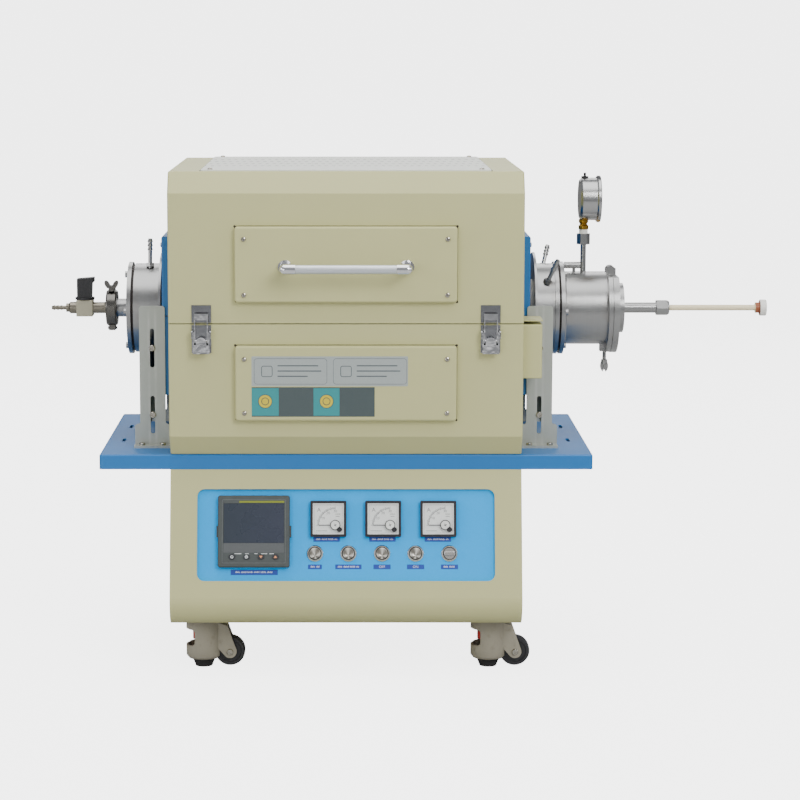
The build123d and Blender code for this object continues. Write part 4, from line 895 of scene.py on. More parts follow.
# ------------------------------------------------------------------ repeats by geometry nodes
class NodePlan:
    """A geometry node tree under construction, with named inputs for its sizes."""

    def __init__(self, name):
        self.tree = bpy.data.node_groups.new(name, "GeometryNodeTree")
        self.start = None
        self.identifiers = {}
        self.socket("Geometry", "NodeSocketGeometry", None)
        result = {"in_out": "OUTPUT", "socket_type": "NodeSocketGeometry"}
        self.tree.interface.new_socket("Geometry", **result)

    def socket(self, name, kind, value):
        made = self.tree.interface.new_socket(name, in_out="INPUT", socket_type=kind)
        if value is not None:
            made.default_value = value
        self.identifiers[name] = made.identifier
        return made

    def node(self, kind, settings=None, sockets=None):
        node = self.tree.nodes.new(kind)
        for key, value in (settings or {}).items():
            setattr(node, key, value)
        for key, value in (sockets or {}).items():
            if isinstance(value, bpy.types.NodeSocket):
                self.tree.links.new(value, node.inputs[key])
            else:
                node.inputs[key].default_value = value
        return node

    def maths(self, operation, *values):
        """The result of one maths node."""
        sockets = dict(enumerate(values))
        return self.node("ShaderNodeMath", {"operation": operation}, sockets).outputs[0]

    def given(self, name):
        if self.start is None:
            self.start = self.tree.nodes.new("NodeGroupInput")
        return self.start.outputs[name]

    def close(self, geometry, material):
        """Realize Instances, Set Material and the output."""
        real = self.node("GeometryNodeRealizeInstances", {}, {"Geometry": geometry})
        painted = self.node("GeometryNodeSetMaterial", {}, {
            "Geometry": real.outputs[0], "Material": material,
        })
        end = self.tree.nodes.new("NodeGroupOutput")
        self.tree.links.new(painted.outputs[0], end.inputs[0])

    def grown(self, mesh, name, values):
        """The plain mesh that the tree grows from a starting mesh."""
        holder = bpy.data.objects.new(name + "_seed", mesh)
        bpy.context.scene.collection.objects.link(holder)
        modifier = holder.modifiers.new("grow", "NODES")
        modifier.node_group = self.tree
        for key, value in values.items():
            modifier[self.identifiers[key]] = value
        bpy.context.view_layer.update()
        depsgraph = bpy.context.evaluated_depsgraph_get()
        result = bpy.data.meshes.new_from_object(holder.evaluated_get(depsgraph))
        holder.modifiers.remove(modifier)
        bpy.data.objects.remove(holder)
        return result


def scattered_plan(material):
    """Copies of one small piece on the points of a mesh, all turned one way."""
    plan = NodePlan("fasteners")
    plan.socket("Piece", "NodeSocketObject", None)
    plan.socket("Facing", "NodeSocketVector", (0.0, 0.0, 0.0))
    plan.socket("Size", "NodeSocketFloat", 1.0)
    plan.socket("Turn", "NodeSocketFloat", 0.7)
    piece = plan.node("GeometryNodeObjectInfo", {}, {"Object": plan.given("Piece")})
    index = plan.node("GeometryNodeInputIndex").outputs[0]
    twist = plan.maths("MULTIPLY", index, plan.given("Turn"))
    own = plan.node("ShaderNodeCombineXYZ", {}, {"Z": twist})
    instances = plan.node("GeometryNodeInstanceOnPoints", {}, {
        "Points": plan.given("Geometry"), "Instance": piece.outputs["Geometry"],
        "Rotation": plan.given("Facing"), "Scale": plan.given("Size"),
    })
    turned = plan.node("GeometryNodeRotateInstances", {}, {
        "Instances": instances.outputs[0], "Rotation": own.outputs[0],
    })
    plan.close(turned.outputs[0], material)
    return plan


def dial_plan(material):
    """Short bars fanned along an arc, every fifth one longer, as a dial's scale."""
    plan = NodePlan("dial scale")
    plan.socket("Count", "NodeSocketInt", 31)
    plan.socket("Radius", "NodeSocketFloat", 24.0)
    plan.socket("Start", "NodeSocketFloat", 0.0)
    plan.socket("Sweep", "NodeSocketFloat", pi / 2)
    plan.socket("Bar", "NodeSocketVector", (2.4, 0.55, 0.1))
    index = plan.node("GeometryNodeInputIndex").outputs[0]
    share = plan.maths("DIVIDE", index, plan.maths("SUBTRACT", plan.given("Count"), 1.0))
    angle = plan.maths("MULTIPLY_ADD", share, plan.given("Sweep"), plan.given("Start"))
    across, up = plan.maths("COSINE", angle), plan.maths("SINE", angle)
    direction = plan.node("ShaderNodeCombineXYZ", {}, {"X": across, "Y": up})
    place = plan.node("ShaderNodeVectorMath", {"operation": "SCALE"}, {
        0: direction.outputs[0], "Scale": plan.given("Radius"),
    })
    line = plan.node("GeometryNodeMeshLine", {}, {"Count": plan.given("Count")})
    fanned = plan.node("GeometryNodeSetPosition", {}, {
        "Geometry": line.outputs[0], "Position": place.outputs[0],
    })
    fifth = plan.maths("LESS_THAN", plan.maths("MODULO", index, 5.0), 0.5)
    stretch = plan.maths("MULTIPLY_ADD", fifth, 0.8, 1.0)
    size = plan.node("ShaderNodeCombineXYZ", {}, {"X": stretch, "Y": 1.0, "Z": 1.0})
    turn = plan.node("ShaderNodeCombineXYZ", {}, {"Z": angle})
    bar = plan.node("GeometryNodeMeshCube", {}, {"Size": plan.given("Bar")})
    copies = plan.node("GeometryNodeInstanceOnPoints", {}, {
        "Points": fanned.outputs[0], "Instance": bar.outputs[0],
        "Rotation": turn.outputs[0], "Scale": size.outputs[0],
    })
    plan.close(copies.outputs[0], material)
    return plan


def thread_plan(material):
    """A ridge wound round a shank, as the crest of its thread."""
    plan = NodePlan("screw thread")
    plan.socket("Radius", "NodeSocketFloat", 2.5)
    plan.socket("Turns", "NodeSocketFloat", 12.0)
    plan.socket("Length", "NodeSocketFloat", 12.0)
    plan.socket("Depth", "NodeSocketFloat", 0.35)
    spiral = plan.node("GeometryNodeCurveSpiral", {}, {
        "Resolution": 24, "Rotations": plan.given("Turns"), "Start Radius": plan.given("Radius"),
        "End Radius": plan.given("Radius"), "Height": plan.given("Length"),
    })
    crest = plan.node("GeometryNodeCurvePrimitiveCircle", {}, {
        "Resolution": 4, "Radius": plan.given("Depth"),
    })
    ridge = plan.node("GeometryNodeCurveToMesh", {}, {
        "Curve": spiral.outputs[0], "Profile Curve": crest.outputs[0], "Fill Caps": True,
    })
    plan.close(ridge.outputs[0], material)
    return plan


def points_mesh(places, name):
    """Loose points in metres for a node tree to grow pieces on."""
    mesh = bpy.data.meshes.new(name)
    mesh.from_pydata([tuple(place) for place in places], [], [])
    return mesh


FRONTWARDS = (pi / 2, 0.0, 0.0)
BACKWARDS = (-pi / 2, 0.0, 0.0)
UPWARDS = (0.0, 0.0, 0.0)
RIGHTWARDS = (0.0, pi / 2, 0.0)
LEFTWARDS = (0.0, -pi / 2, 0.0)


# ------------------------------------------------------------------ operators
class Furnace:
    """What the operators share."""

    bl_options = {"REGISTER", "UNDO"}

    @property
    def paints(self):
        return bpy.context.scene.furnace_paints

    @property
    def details(self):
        return bpy.context.scene.furnace_details

    @property
    def console(self):
        return Leaning(self.details.lean)

    def on_console(self, name, shape, out, material, slot, body="stand"):
        """A drawing that lies on the console, out millimetres in front of its sheet."""
        mesh = mesh_from(shape, name, self.console.matrix(0, 0, out))
        return settle(name, mesh, material, body)


def paint_nodes(material, *names):
    """Gives one finish to nodes, in every slot they have."""
    for node in (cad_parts[name] for name in names):
        if not node.data.materials:
            node.data.materials.append(material)
        for slot in node.material_slots:
            slot.material = material


def numbered(name, count):
    return [f"{name}_{i}" for i in range(1, count + 1)]


class FURNACE_OT_dress_bodywork(Furnace, bpy.types.Operator):
    """Powder coats, steel, plastic and fibre for the cabinet and both halves of the hearth"""

    bl_idname = "furnace.dress_bodywork"
    bl_label = "Finish the bodywork"

    def execute(self, context):
        paints = self.paints
        body = tuple(paints.body)
        coat = powder_coat("body_coat", body)
        paint_nodes(coat, "cabinet_shell", "label_plate", "lid_switch")
        paint_nodes(seamed_coat("seamed_body_coat", body), "hearth_base", "lid_shell")
        paint_nodes(vent_finish("vent_coat", linear(222, 224, 216)), "vent_plate")
        paint_nodes(powder_coat("shelf_coat", tuple(paints.shelf), gloss=0.34), "shelf_tray")
        covers = powder_coat("cover_coat", tuple(paints.cover), gloss=0.36)
        paint_nodes(covers, "end_covers_upper", "end_covers_lower")
        paint_nodes(flat_print("panel_ground", tuple(paints.panel), 0.42, 0.1), "control_panel")
        paint_nodes(stand_finish("stand_coat", tuple(paints.stand)), "flange_stands")
        paint_nodes(handle_finish("handle_parts", body), "lid_handle")
        paint_nodes(ceramic_fibre("fibre_board"), "base_insulation", "lid_insulation")
        hinge = polished_metal("plated_hardware", linear(172, 173, 176), 0.12)
        paint_nodes(hinge, "base_hardware", "lid_hardware")
        latch = polished_metal("latch_chrome", (0.86, 0.86, 0.87), ripples=0.4)
        for side in ("left", "right"):
            paint_nodes(latch, f"latch_lever_{side}", f"latch_claw_{side}")
        return {"FINISHED"}


class FURNACE_OT_dress_instruments(Furnace, bpy.types.Operator):
    """Plastic, glass and bright metal for everything on the console"""

    bl_idname = "furnace.dress_instruments"
    bl_label = "Finish the instruments"

    def execute(self, context):
        paint_nodes(moulded("controller_case", linear(66, 71, 70), 0.4), "controller")
        paint_nodes(moulded("meter_case", linear(30, 28, 32), 0.32), "meter_cases")
        paint_nodes(clear_glass("window_glass"), "instrument_windows")
        rims = polished_metal("button_rim", linear(226, 222, 212), 0.2)
        paint_nodes(rims, "button_bezels")
        # Each cap's finish carries a painted highlight, a bright cross turned by its own phase.
        for i, name in enumerate(numbered("push_button", 4), 1):
            middle = (low(name) + high(name)) / 2
            paint_nodes(button_finish(f"button_cap_{i}", middle, i * 0.6), name)
        keys = moulded("key_rubber", linear(44, 46, 50), 0.5)
        paint_nodes(keys, *numbered("controller_key", 4))
        selector = plain_steel("selector_steel", linear(206, 204, 200), 0.22)
        paint_nodes(selector, "selector_switch")
        needle = moulded("needle_black", linear(24, 24, 26), 0.4)
        paint_nodes(needle, "gauge_pointer", *numbered("meter_needle", 3))
        return {"FINISHED"}


class FURNACE_OT_dress_fittings(Furnace, bpy.types.Operator):
    """Turned steel, ceramic, castings and rubber for the tube's fittings and the castors"""

    bl_idname = "furnace.dress_fittings"
    bl_label = "Finish the fittings"

    def execute(self, context):
        paints = self.paints
        paint_nodes(tube_ceramic("tube_ceramic"), "furnace_tube")
        paint_nodes(flange_steel("left_flange_steel", LEFT_SEAL), "left_flange")
        paint_nodes(flange_steel("right_flange_steel", RIGHT_SEAL), "right_flange")
        paint_nodes(turned_steel("door_steel"), "chamber_door")
        paint_nodes(plain_steel("bolt_steel"), "swing_bolt")
        paint_nodes(plain_steel("clamp_casting", linear(104, 102, 98), 0.24), "kf_clamp")
        paint_nodes(valve_finish("valve_parts"), "gas_valve")
        paint_nodes(moulded("knob_plastic", linear(30, 30, 32), 0.42), "valve_knob")
        paint_nodes(gauge_finish("gauge_parts"), "pressure_gauge")
        paint_nodes(probe_finish("probe_parts"), "thermocouple")
        casting = cast_paint("castor_paint", tuple(paints.casting))
        paint_nodes(casting, "castor_plates", *numbered("castor_fork", 4))
        wheel = moulded("wheel_nylon", linear(40, 40, 42), 0.42, 0.8)
        paint_nodes(wheel, *numbered("castor_wheel", 4))
        foot = foot_finish("foot_parts", tuple(paints.thumbwheel))
        paint_nodes(foot, *numbered("levelling_foot", 4))
        return {"FINISHED"}


class FURNACE_OT_panel_print(Furnace, bpy.types.Operator):
    """Dark blue printed fields under the instruments, with ON and OFF on two of them"""

    bl_idname = "furnace.panel_print"
    bl_label = "Print the panel"

    PANEL = -5.0
    METER_FIELDS = (-25.9, 48.7, 122.8)
    METER_FALL = 93.3
    BUTTON_FIELDS = ((-41.5, 18.6), (3.2, 35.0), (48.1, 23.0), (92.9, 23.0), (138.2, 23.0))
    BUTTON_FALL = 130.0
    CONTROLLER_FIELD = (-122.5, -137.3)
    WORDS = {2: "OFF", 3: "ON"}
    WORD_SIZE = 3.4
    BUTTON_DROP = 112.1
    BUTTON_FACE = -2.4
    BUTTON_GAP = (7.58, 8.9)

    def execute(self, context):
        thick = self.details.print_thickness / MM
        fields, marks = bmesh.new(), bmesh.new()
        for x in self.METER_FIELDS:
            add_slab(fields, rounded(35.3, 6.2, 0.5, x=x, y=-self.METER_FALL), 0, thick)
            self.marks(marks, x, -self.METER_FALL, 28.0, thick)
        for i, (x, width) in enumerate(self.BUTTON_FIELDS):
            add_slab(fields, rounded(width, 6.2, 0.5, x=x, y=-self.BUTTON_FALL), 0, thick)
            if i not in self.WORDS:
                self.marks(marks, x, -self.BUTTON_FALL, width - 7.0, thick)
        x, y = self.CONTROLLER_FIELD
        add_slab(fields, rounded(63.0, 7.2, 0.5, x=x, y=y), 0, thick)
        self.marks(marks, x, y, 50.0, thick)
        ink = flat_print("label_ink", tuple(self.paints.label), 0.4)
        self.on_console("panel_fields", fields, self.PANEL, ink, "panel_paint")

        words = []
        for i, word in self.WORDS.items():
            x = self.BUTTON_FIELDS[i][0]
            place = self.console.matrix(x, self.BUTTON_FALL, self.PANEL + thick)
            words.append(lettering(word, self.WORD_SIZE, place))
        words.append(mesh_from(marks, "marks", self.console.matrix(0, 0, self.PANEL)))
        white = flat_print("label_white", linear(206, 214, 232), 0.4)
        settle("panel_words", merged(words, "panel_words"), white, "stand")

        # painted shade: a thin black ring in the gap between each button's cap and its bezel
        gaps = bmesh.new()
        for x, _ in self.BUTTON_FIELDS:
            inner, outer = (disc_outline(r, x=x, y=-self.BUTTON_DROP) for r in self.BUTTON_GAP)
            add_frame(gaps, outer, inner, 0, 0.12)
        black = moulded("gap_black", linear(26, 22, 20), 0.6)
        self.on_console("button_gaps", gaps, self.BUTTON_FACE, black, "bright_metal")
        return {"FINISHED"}

    def marks(self, shape, x, y, width, base):
        """A row of upright strokes as high as small lettering, with a gap between words."""
        low_stroke, rise, gap = 1.7, 0.7, 0.45
        at, step = x - width / 2, 0
        while at < x + width / 2:
            stroke = 0.55 + 0.25 * (step * 7 % 3)
            high_stroke = low_stroke + rise * (step * 5 % 2)
            if step % 7 != 5:
                middle = (at + stroke / 2, y + (high_stroke - low_stroke) / 2)
                add_slab(shape, rounded(stroke, high_stroke, 0.2, 2, *middle), base, base * 1.5)
            at += stroke + gap
            step += 1


class FURNACE_OT_plate_fields(Furnace, bpy.types.Operator):
    """Painted shadow in the joints round the plates, and the films on the lower one: a sheet and
    a strip
    """

    bl_idname = "furnace.plate_fields"
    bl_label = "Lay the plate's films"

    PLATE = (293.0, 100.0)
    SHADOW_GAP = 0.8                # along a plate's top and right-hand edges
    LIT_GAP = 0.3                   # along the other two
    SHEET = (-21.5, -61.9, 206.6, 39.8)
    BOXES = ((-121.5, -25.0), (-17.0, 80.5))
    BOX_Z = -62.0
    RULES = (54.0, 58.0, 40.0)
    STRIP = (-124.8, -89.0, -43.0, -8.6, 38.0)
    STRIP_Z = -102.8
    STRIP_HEIGHT = 39.5
    STRIP_EDGE = 1.4
    DOT_Z = -102.0

    def execute(self, context):
        self.gap_shade_lines()
        self.sheet()
        self.strip()
        return {"FINISHED"}

    def film(self, name, shape, material):
        flat = facing_front(0, PLATE_FRONT, 0)
        settle(name, mesh_from(shape, name, flat), material, "stand")

    @property
    def thick(self):
        return self.details.print_thickness / MM

    def gap_shade_lines(self):
        """Painted shadow in the joint round each front plate, wider along its top and right-hand
        edges and with dark spots at three corners, and along both ends of the top plate.
        """
        # The dark strips and spots below are painted shadow, laid where the plates' gaps fall
        # into shade; the moulded finish only gives them grain.
        rubber = moulded("joint_black", linear(48, 42, 30), 0.6)
        start, end = low("vent_plate"), high("vent_plate")
        grow = self.SHADOW_GAP + self.LIT_GAP
        shift = (self.SHADOW_GAP - self.LIT_GAP) / 2
        width, height = self.PLATE
        right, top = width / 2, height / 2
        plates = (("upper", "lid_handle", "lid"), ("lower", "label_plate", "stand"))
        for name, node, body in plates:
            middle = (low(node).z + high(node).z) / 2
            shape = bmesh.new()
            outer = rounded(width + grow, height + grow, 1.2, x=shift, y=middle + shift)
            inner = rounded(width - 2.0, height - 2.0, 4.0, y=middle)
            add_frame(shape, outer, inner, 0, 0.4)
            # painted shade: dark spots at a plate's two top corners and its lower right one
            for x, z in ((-right, top), (right, top), (right, -top)):
                add_slab(shape, disc_outline(1.5, 16, x=x, y=middle + z), 0, 0.5)
            mesh = mesh_from(shape, f"plate_joint_{name}", facing_front(0, HEARTH_FRONT, 0))
            settle(f"plate_joint_{name}", mesh, rubber, body)
        # painted shadow along both ends of the top plate
        shape = bmesh.new()
        for x, side in ((start.x, -1), (end.x, 1)):
            strip = rounded(1.6, end.y - start.y, 0.4, 2, x + side * 0.8, (start.y + end.y) / 2)
            add_slab(shape, strip, -0.1, 0.35)
        mesh = mesh_from(shape, "vent_joint", facing_up(0, 0, start.z))
        settle("vent_joint", mesh, rubber, "lid")

    def sheet(self):
        """A grey sheet with two framed boxes, each with an empty frame and three rules."""
        x, z, width, height = self.SHEET
        thick, raised = self.thick, self.thick * 1.6
        sheet, lines = bmesh.new(), bmesh.new()
        add_slab(sheet, rounded(width, height, 1.2, x=x, y=z), 0, thick)
        self.film("film_sheet", sheet, flat_print("film_grey", linear(160, 167, 165), 0.3))
        for left, right in self.BOXES:
            x, width = (left + right) / 2, right - left
            outer = rounded(width, 34.5, 4.0, x=x, y=self.BOX_Z)
            inner = rounded(width - 1.0, 33.5, 3.5, x=x, y=self.BOX_Z)
            add_frame(lines, outer, inner, thick, raised)
            mark = rounded(15, 15, 3.0, x=left + 17, y=self.BOX_Z)
            hollow = rounded(13, 13, 2.0, x=left + 17, y=self.BOX_Z)
            add_frame(lines, mark, hollow, thick, raised)
            for row, length in enumerate(self.RULES):
                x, z = left + 31 + length / 2, self.BOX_Z + 7.5 - 7.0 * row
                add_slab(lines, rounded(length, 1.5, 0.6, x=x, y=z), thick, raised)
        self.film("film_lines", lines, flat_print("film_lines", linear(84, 92, 96), 0.3))

    def strip(self):
        """A strip of teal and charcoal fields in turn, with a ringed dot on each teal one."""
        thick, height, z = self.thick, self.STRIP_HEIGHT, self.STRIP_Z
        teal, charcoal, dots, rings = bmesh.new(), bmesh.new(), bmesh.new(), bmesh.new()
        for i, (left, right) in enumerate(zip(self.STRIP, self.STRIP[1:])):
            x, width = (left + right) / 2, right - left
            if i % 2:
                add_slab(charcoal, rounded(width, height, 0.4, x=x, y=z), 0, thick)
                continue
            inset = height - 2 * self.STRIP_EDGE
            add_slab(teal, rounded(width, inset, 0.4, x=x, y=z), 0, thick)
            rim = rounded(width, height, 0.4, x=x, y=z)
            hollow = rounded(width - 0.02, inset, 0.39, x=x, y=z)
            add_frame(charcoal, rim, hollow, 0, thick)
            discs = {r: disc_outline(r, x=x, y=self.DOT_Z) for r in (8.6, 9.3, 8.5, 5.2, 4.2)}
            add_slab(dots, discs[8.6], thick, thick * 1.8)
            add_frame(rings, discs[9.3], discs[8.5], thick, thick * 1.9)
            add_frame(rings, discs[5.2], discs[4.2], thick * 1.8, thick * 2.2)
        dark = flat_print("film_charcoal", linear(70, 81, 82), 0.32)
        self.film("film_teal", teal, flat_print("film_teal", linear(48, 138, 142), 0.32))
        self.film("film_dark", charcoal, dark)
        self.film("film_dots", dots, flat_print("film_yellow", linear(206, 186, 52), 0.32))
        self.film("film_rings", rings, dark)


class FURNACE_OT_meter_dials(Furnace, bpy.types.Operator):
    """White cards with their scales, figures and pivot caps in the three panel meters"""

    bl_idname = "furnace.meter_dials"
    bl_label = "Print the meter dials"

    METERS = (-23.6, 49.6, 123.3)
    DROP = 66.1
    CARD = -2.6
    CARD_SIDE = 41.4
    INK = 0.3                       # the figures' middle above the card's back
    GLASS = 2.0
    PIVOT = (9.2, -8.5)
    CAP = ((0, 0), (6.0, 0), (6.0, 0.5), (5.4, 0.8), (0, 0.8))
    SCREW_SLOT = ((-1.9, -0.35), (1.9, -0.35), (1.9, 0.35), (-1.9, 0.35))
    SCALE_RADIUS = 23.0
    FIGURES = ("0", "10", "20", "30")

    def execute(self, context):
        card, caps, rings, rims = bmesh.new(), bmesh.new(), bmesh.new(), bmesh.new()
        ink = flat_print("dial_ink", linear(16, 16, 20), 0.5)
        scale = dial_plan(ink)
        side, marks = self.CARD_SIDE, []
        for x in self.METERS:
            px, py = x + self.PIVOT[0], -self.DROP + self.PIVOT[1]
            square = rounded(side, side, 0.5, x=x, y=-self.DROP)
            add_slab(card, square, 0, 0.25)
            # painted highlight: a white frame round each card stands in for the light on the
            # window's bevel
            hollow = rounded(side - 2.8, side - 2.8, 0.4, x=x, y=-self.DROP)
            add_frame(rims, square, hollow, 0.25, 3.4)
            self.pivot(caps, rings, px, py)
            ticks = scale.grown(points_mesh([(0, 0, 0)], "seed"), f"scale_{x}", {
                "Count": self.details.dial_ticks, "Radius": self.SCALE_RADIUS,
                "Start": pi / 2, "Sweep": pi / 2,
            })
            ticks.transform(self.printed(px, -py))
            marks += [ticks, self.arc(px, py)]
            for i, figure in enumerate(self.FIGURES[1:], 1):
                angle = pi - pi / 2 * i / (len(self.FIGURES) - 1)
                reach = self.SCALE_RADIUS - 4.2
                fx, fy = px + reach * cos(angle), py + reach * sin(angle)
                marks.append(lettering(figure, 3.4, self.printed(fx, -fy)))
            marks.append(lettering("A", 5.2, self.printed(x - 12.6, self.DROP - 12.0)))
            marks.append(self.small_print(x))
        white = flat_print("card_white", linear(232, 234, 230), 0.5)
        self.on_console("meter_cards", card, self.CARD, white, "instrument_case")
        settle("meter_scales", merged(marks, "meter_scales"), ink, "stand")
        # painted highlight: the white frames round the cards
        rim = moulded("bevel_highlight_white", linear(240, 240, 236), 0.35)
        self.on_console("meter_rims", rims, self.CARD, rim, "instrument_case")
        pale = moulded("pivot_cap", linear(222, 224, 218), 0.3)
        self.on_console("pivot_caps", caps, self.GLASS, pale, "clear_window")
        dark = moulded("pivot_ring", linear(34, 34, 38), 0.3)
        self.on_console("pivot_rings", rings, self.GLASS, dark, "clear_window")
        return {"FINISHED"}

    def printed(self, x, drop):
        return self.console.matrix(x, drop, self.CARD + self.INK)

    def pivot(self, caps, rings, px, py):
        """The pale cap over a needle's pivot, its dark ring and its crossed screw slot."""
        add_lathe(caps, self.CAP, centre=(px, py))
        outer, inner = disc_outline(6.9, x=px, y=py), disc_outline(5.9, x=px, y=py)
        add_frame(rings, outer, inner, 0, 0.9)
        for turn in (0.5, 0.5 + pi / 2):
            bar = [
                (px + a * cos(turn) - b * sin(turn), py + a * sin(turn) + b * cos(turn))
                for a, b in self.SCREW_SLOT
            ]
            add_slab(rings, bar, 0.8, 1.0)

    def arc(self, px, py):
        """The thin line that the scale's marks stand on."""
        shape = bmesh.new()
        steps, half = 32, 0.15
        angles = [pi / 2 + pi / 2 * step / steps for step in range(steps + 1)]
        outer, inner = [
            [(px + radius * cos(angle), py + radius * sin(angle)) for angle in angles]
            for radius in (self.SCALE_RADIUS - 1.0 + half, self.SCALE_RADIUS - 1.0 - half)
        ]
        add_slab(shape, outer + inner[::-1], 0, 0.08)
        return mesh_from(shape, "arc", self.console.matrix(0, 0, self.CARD + 0.25))

    def small_print(self, x):
        """Fine rules where a dial has its class and circuit marks, and a line round the card."""
        shape = bmesh.new()
        for dx, dy, width in ((12.5, 6.5, 7.0), (12.5, 3.5, 5.5), (-9.0, -16.0, 15.0)):
            add_slab(shape, rounded(width, 0.7, 0.3, x=x + dx, y=-self.DROP + dy), 0, 0.08)
        edge = rounded(37.5, 37.5, 0.6, x=x, y=-self.DROP)
        add_frame(shape, edge, rounded(37.1, 37.1, 0.5, x=x, y=-self.DROP), 0, 0.06)
        return mesh_from(shape, "rules", self.console.matrix(0, 0, self.CARD + 0.25))


class FURNACE_OT_controller_face(Furnace, bpy.types.Operator):
    """Dark screen, green line, key bed and key marks of the temperature controller"""

    bl_idname = "furnace.controller_face"
    bl_label = "Fit the controller's face"

    X = -123.0
    DROP = 83.0
    FRONT = 4.0
    KEY_TOP = 5.4
    KEY_PITCH = 19.3
    KEY_FALL = 34.2
    TICKS = ((-21, 9), (-9, 5), (3, 4), (14, 8), (24, 6))

    def execute(self, context):
        self.fit("screen", self.plate(80.6, 52.6, 0.6, 0, 10.9, 0.9), self.screen_finish(), -1.2)
        rib = bmesh.new()
        outer = rounded(84.6, 85.0, 1.4, x=self.X, y=-self.DROP)
        add_frame(rib, outer, rounded(83.6, 84.0, 1.0, x=self.X, y=-self.DROP), 0, 0.35)
        self.fit("rib", rib, moulded("case_rib", linear(104, 108, 108), 0.35))
        green = flat_print("line_green", linear(126, 134, 34), 0.35)
        self.fit("line", self.plate(60.0, 2.6, 0.3, 10.6, 39.4, 0.15), green)
        grey = flat_print("band_grey", linear(82, 85, 86), 0.4)
        self.fit("band", self.plate(80.6, 12.6, 0.5, 0, -22.2, 0.15), grey)
        ticks = bmesh.new()
        for x, width in self.TICKS:
            outline = rounded(width, 0.8, 0.3, x=self.X + x, y=-self.DROP - 29.9)
            add_slab(ticks, outline, 0, 0.12)
        white = flat_print("mark_white", linear(216, 220, 220), 0.4)
        self.fit("ticks", ticks, white)
        orange = flat_print("mark_orange", linear(226, 150, 100), 0.4)
        for i in range(4):
            self.on_console(
                f"key_mark_{i + 1}", self.key_mark(i), self.KEY_TOP, white if i < 2 else orange,
                "key_plastic", f"controller_key_{i + 1}",
            )
        return {"FINISHED"}

    def fit(self, name, shape, material, out=0.0):
        name, out = f"controller_{name}", self.FRONT + out
        self.on_console(name, shape, out, material, "instrument_case")

    def plate(self, width, height, radius, x, y, thick):
        shape = bmesh.new()
        outline = rounded(width, height, radius, x=self.X + x, y=-self.DROP + y)
        add_slab(shape, outline, 0, thick)
        return shape

    def key_mark(self, i):
        """A ring, a ring with a stroke, an arrow down or an arrow up."""
        mark = bmesh.new()
        x, y = self.X + (i - 1.5) * self.KEY_PITCH, -self.DROP - self.KEY_FALL
        if i < 2:
            add_frame(mark, disc_outline(2.0, 24, x, y), disc_outline(1.1, 24, x, y), 0, 0.12)
            if i:
                add_slab(mark, rounded(0.9, 2.6, 0.3, x=x, y=y + 1.3), 0.1, 0.2)
        else:
            up = 1 if i == 3 else -1
            corners = [(x - 2.2, y - 1.5 * up), (x + 2.2, y - 1.5 * up), (x, y + 1.9 * up)]
            add_slab(mark, corners, 0, 0.12)
        return mark

    def screen_finish(self):
        """Unlit display: dark slate behind a hard clear skin, with a painted reflection that
        lightens it towards the right.
        """
        glass = Finish("screen_slate", linear(34, 42, 52), coat_weight=0.15, coat_roughness=0.12)
        x, _, _, place = glass.place()
        # painted reflection: the slate lightens from left to right
        slope = ((x - self.X) / 120.0 + 0.5).clamped()
        haze = glass.noise(20, place, 2)
        glass.color(glass.mix(slope * 0.8 + haze * 0.1, linear(40, 50, 59), linear(53, 57, 73)))
        glass.rough(0.24 + haze * 0.08)
        return glass.material


class FURNACE_OT_gauge_dial(Furnace, bpy.types.Operator):
    """The pressure gauge's white dial with its scale and figures"""

    bl_idname = "furnace.gauge_dial"
    bl_label = "Print the gauge dial"

    BED = 344.0
    RADIUS = 22.5
    FIGURES = ("0", "1", "2", "3", "4", "5")

    def execute(self, context):
        flat = facing_right(self.BED, 0, GAUGE_RISE)
        card = bmesh.new()
        add_lathe(card, [(0, 0), (26.8, 0), (26.8, 0.3), (0, 0.3)], 64)
        white = flat_print("gauge_card", linear(236, 236, 230), 0.5)
        settle("gauge_card", mesh_from(card, "gauge_card", flat), white, "stand")
        ink = flat_print("gauge_ink", linear(30, 32, 36), 0.5)
        raised = facing_right(self.BED + 0.34, 0, GAUGE_RISE)
        ticks = dial_plan(ink).grown(points_mesh([(0, 0, 0)], "seed"), "gauge_scale", {
            "Count": self.details.gauge_ticks, "Radius": self.RADIUS,
            "Start": radians(-45), "Sweep": radians(270),
        })
        ticks.transform(raised)
        marks = [ticks]
        for i, figure in enumerate(self.FIGURES):
            angle = radians(225 - 270 * i / (len(self.FIGURES) - 1))
            reach = self.RADIUS - 5.5
            place = raised @ Matrix.Translation((reach * cos(angle), reach * sin(angle), 0))
            marks.append(lettering(figure, 4.0, place))
        settle("gauge_scale", merged(marks, "gauge_scale"), ink, "stand")
        return {"FINISHED"}


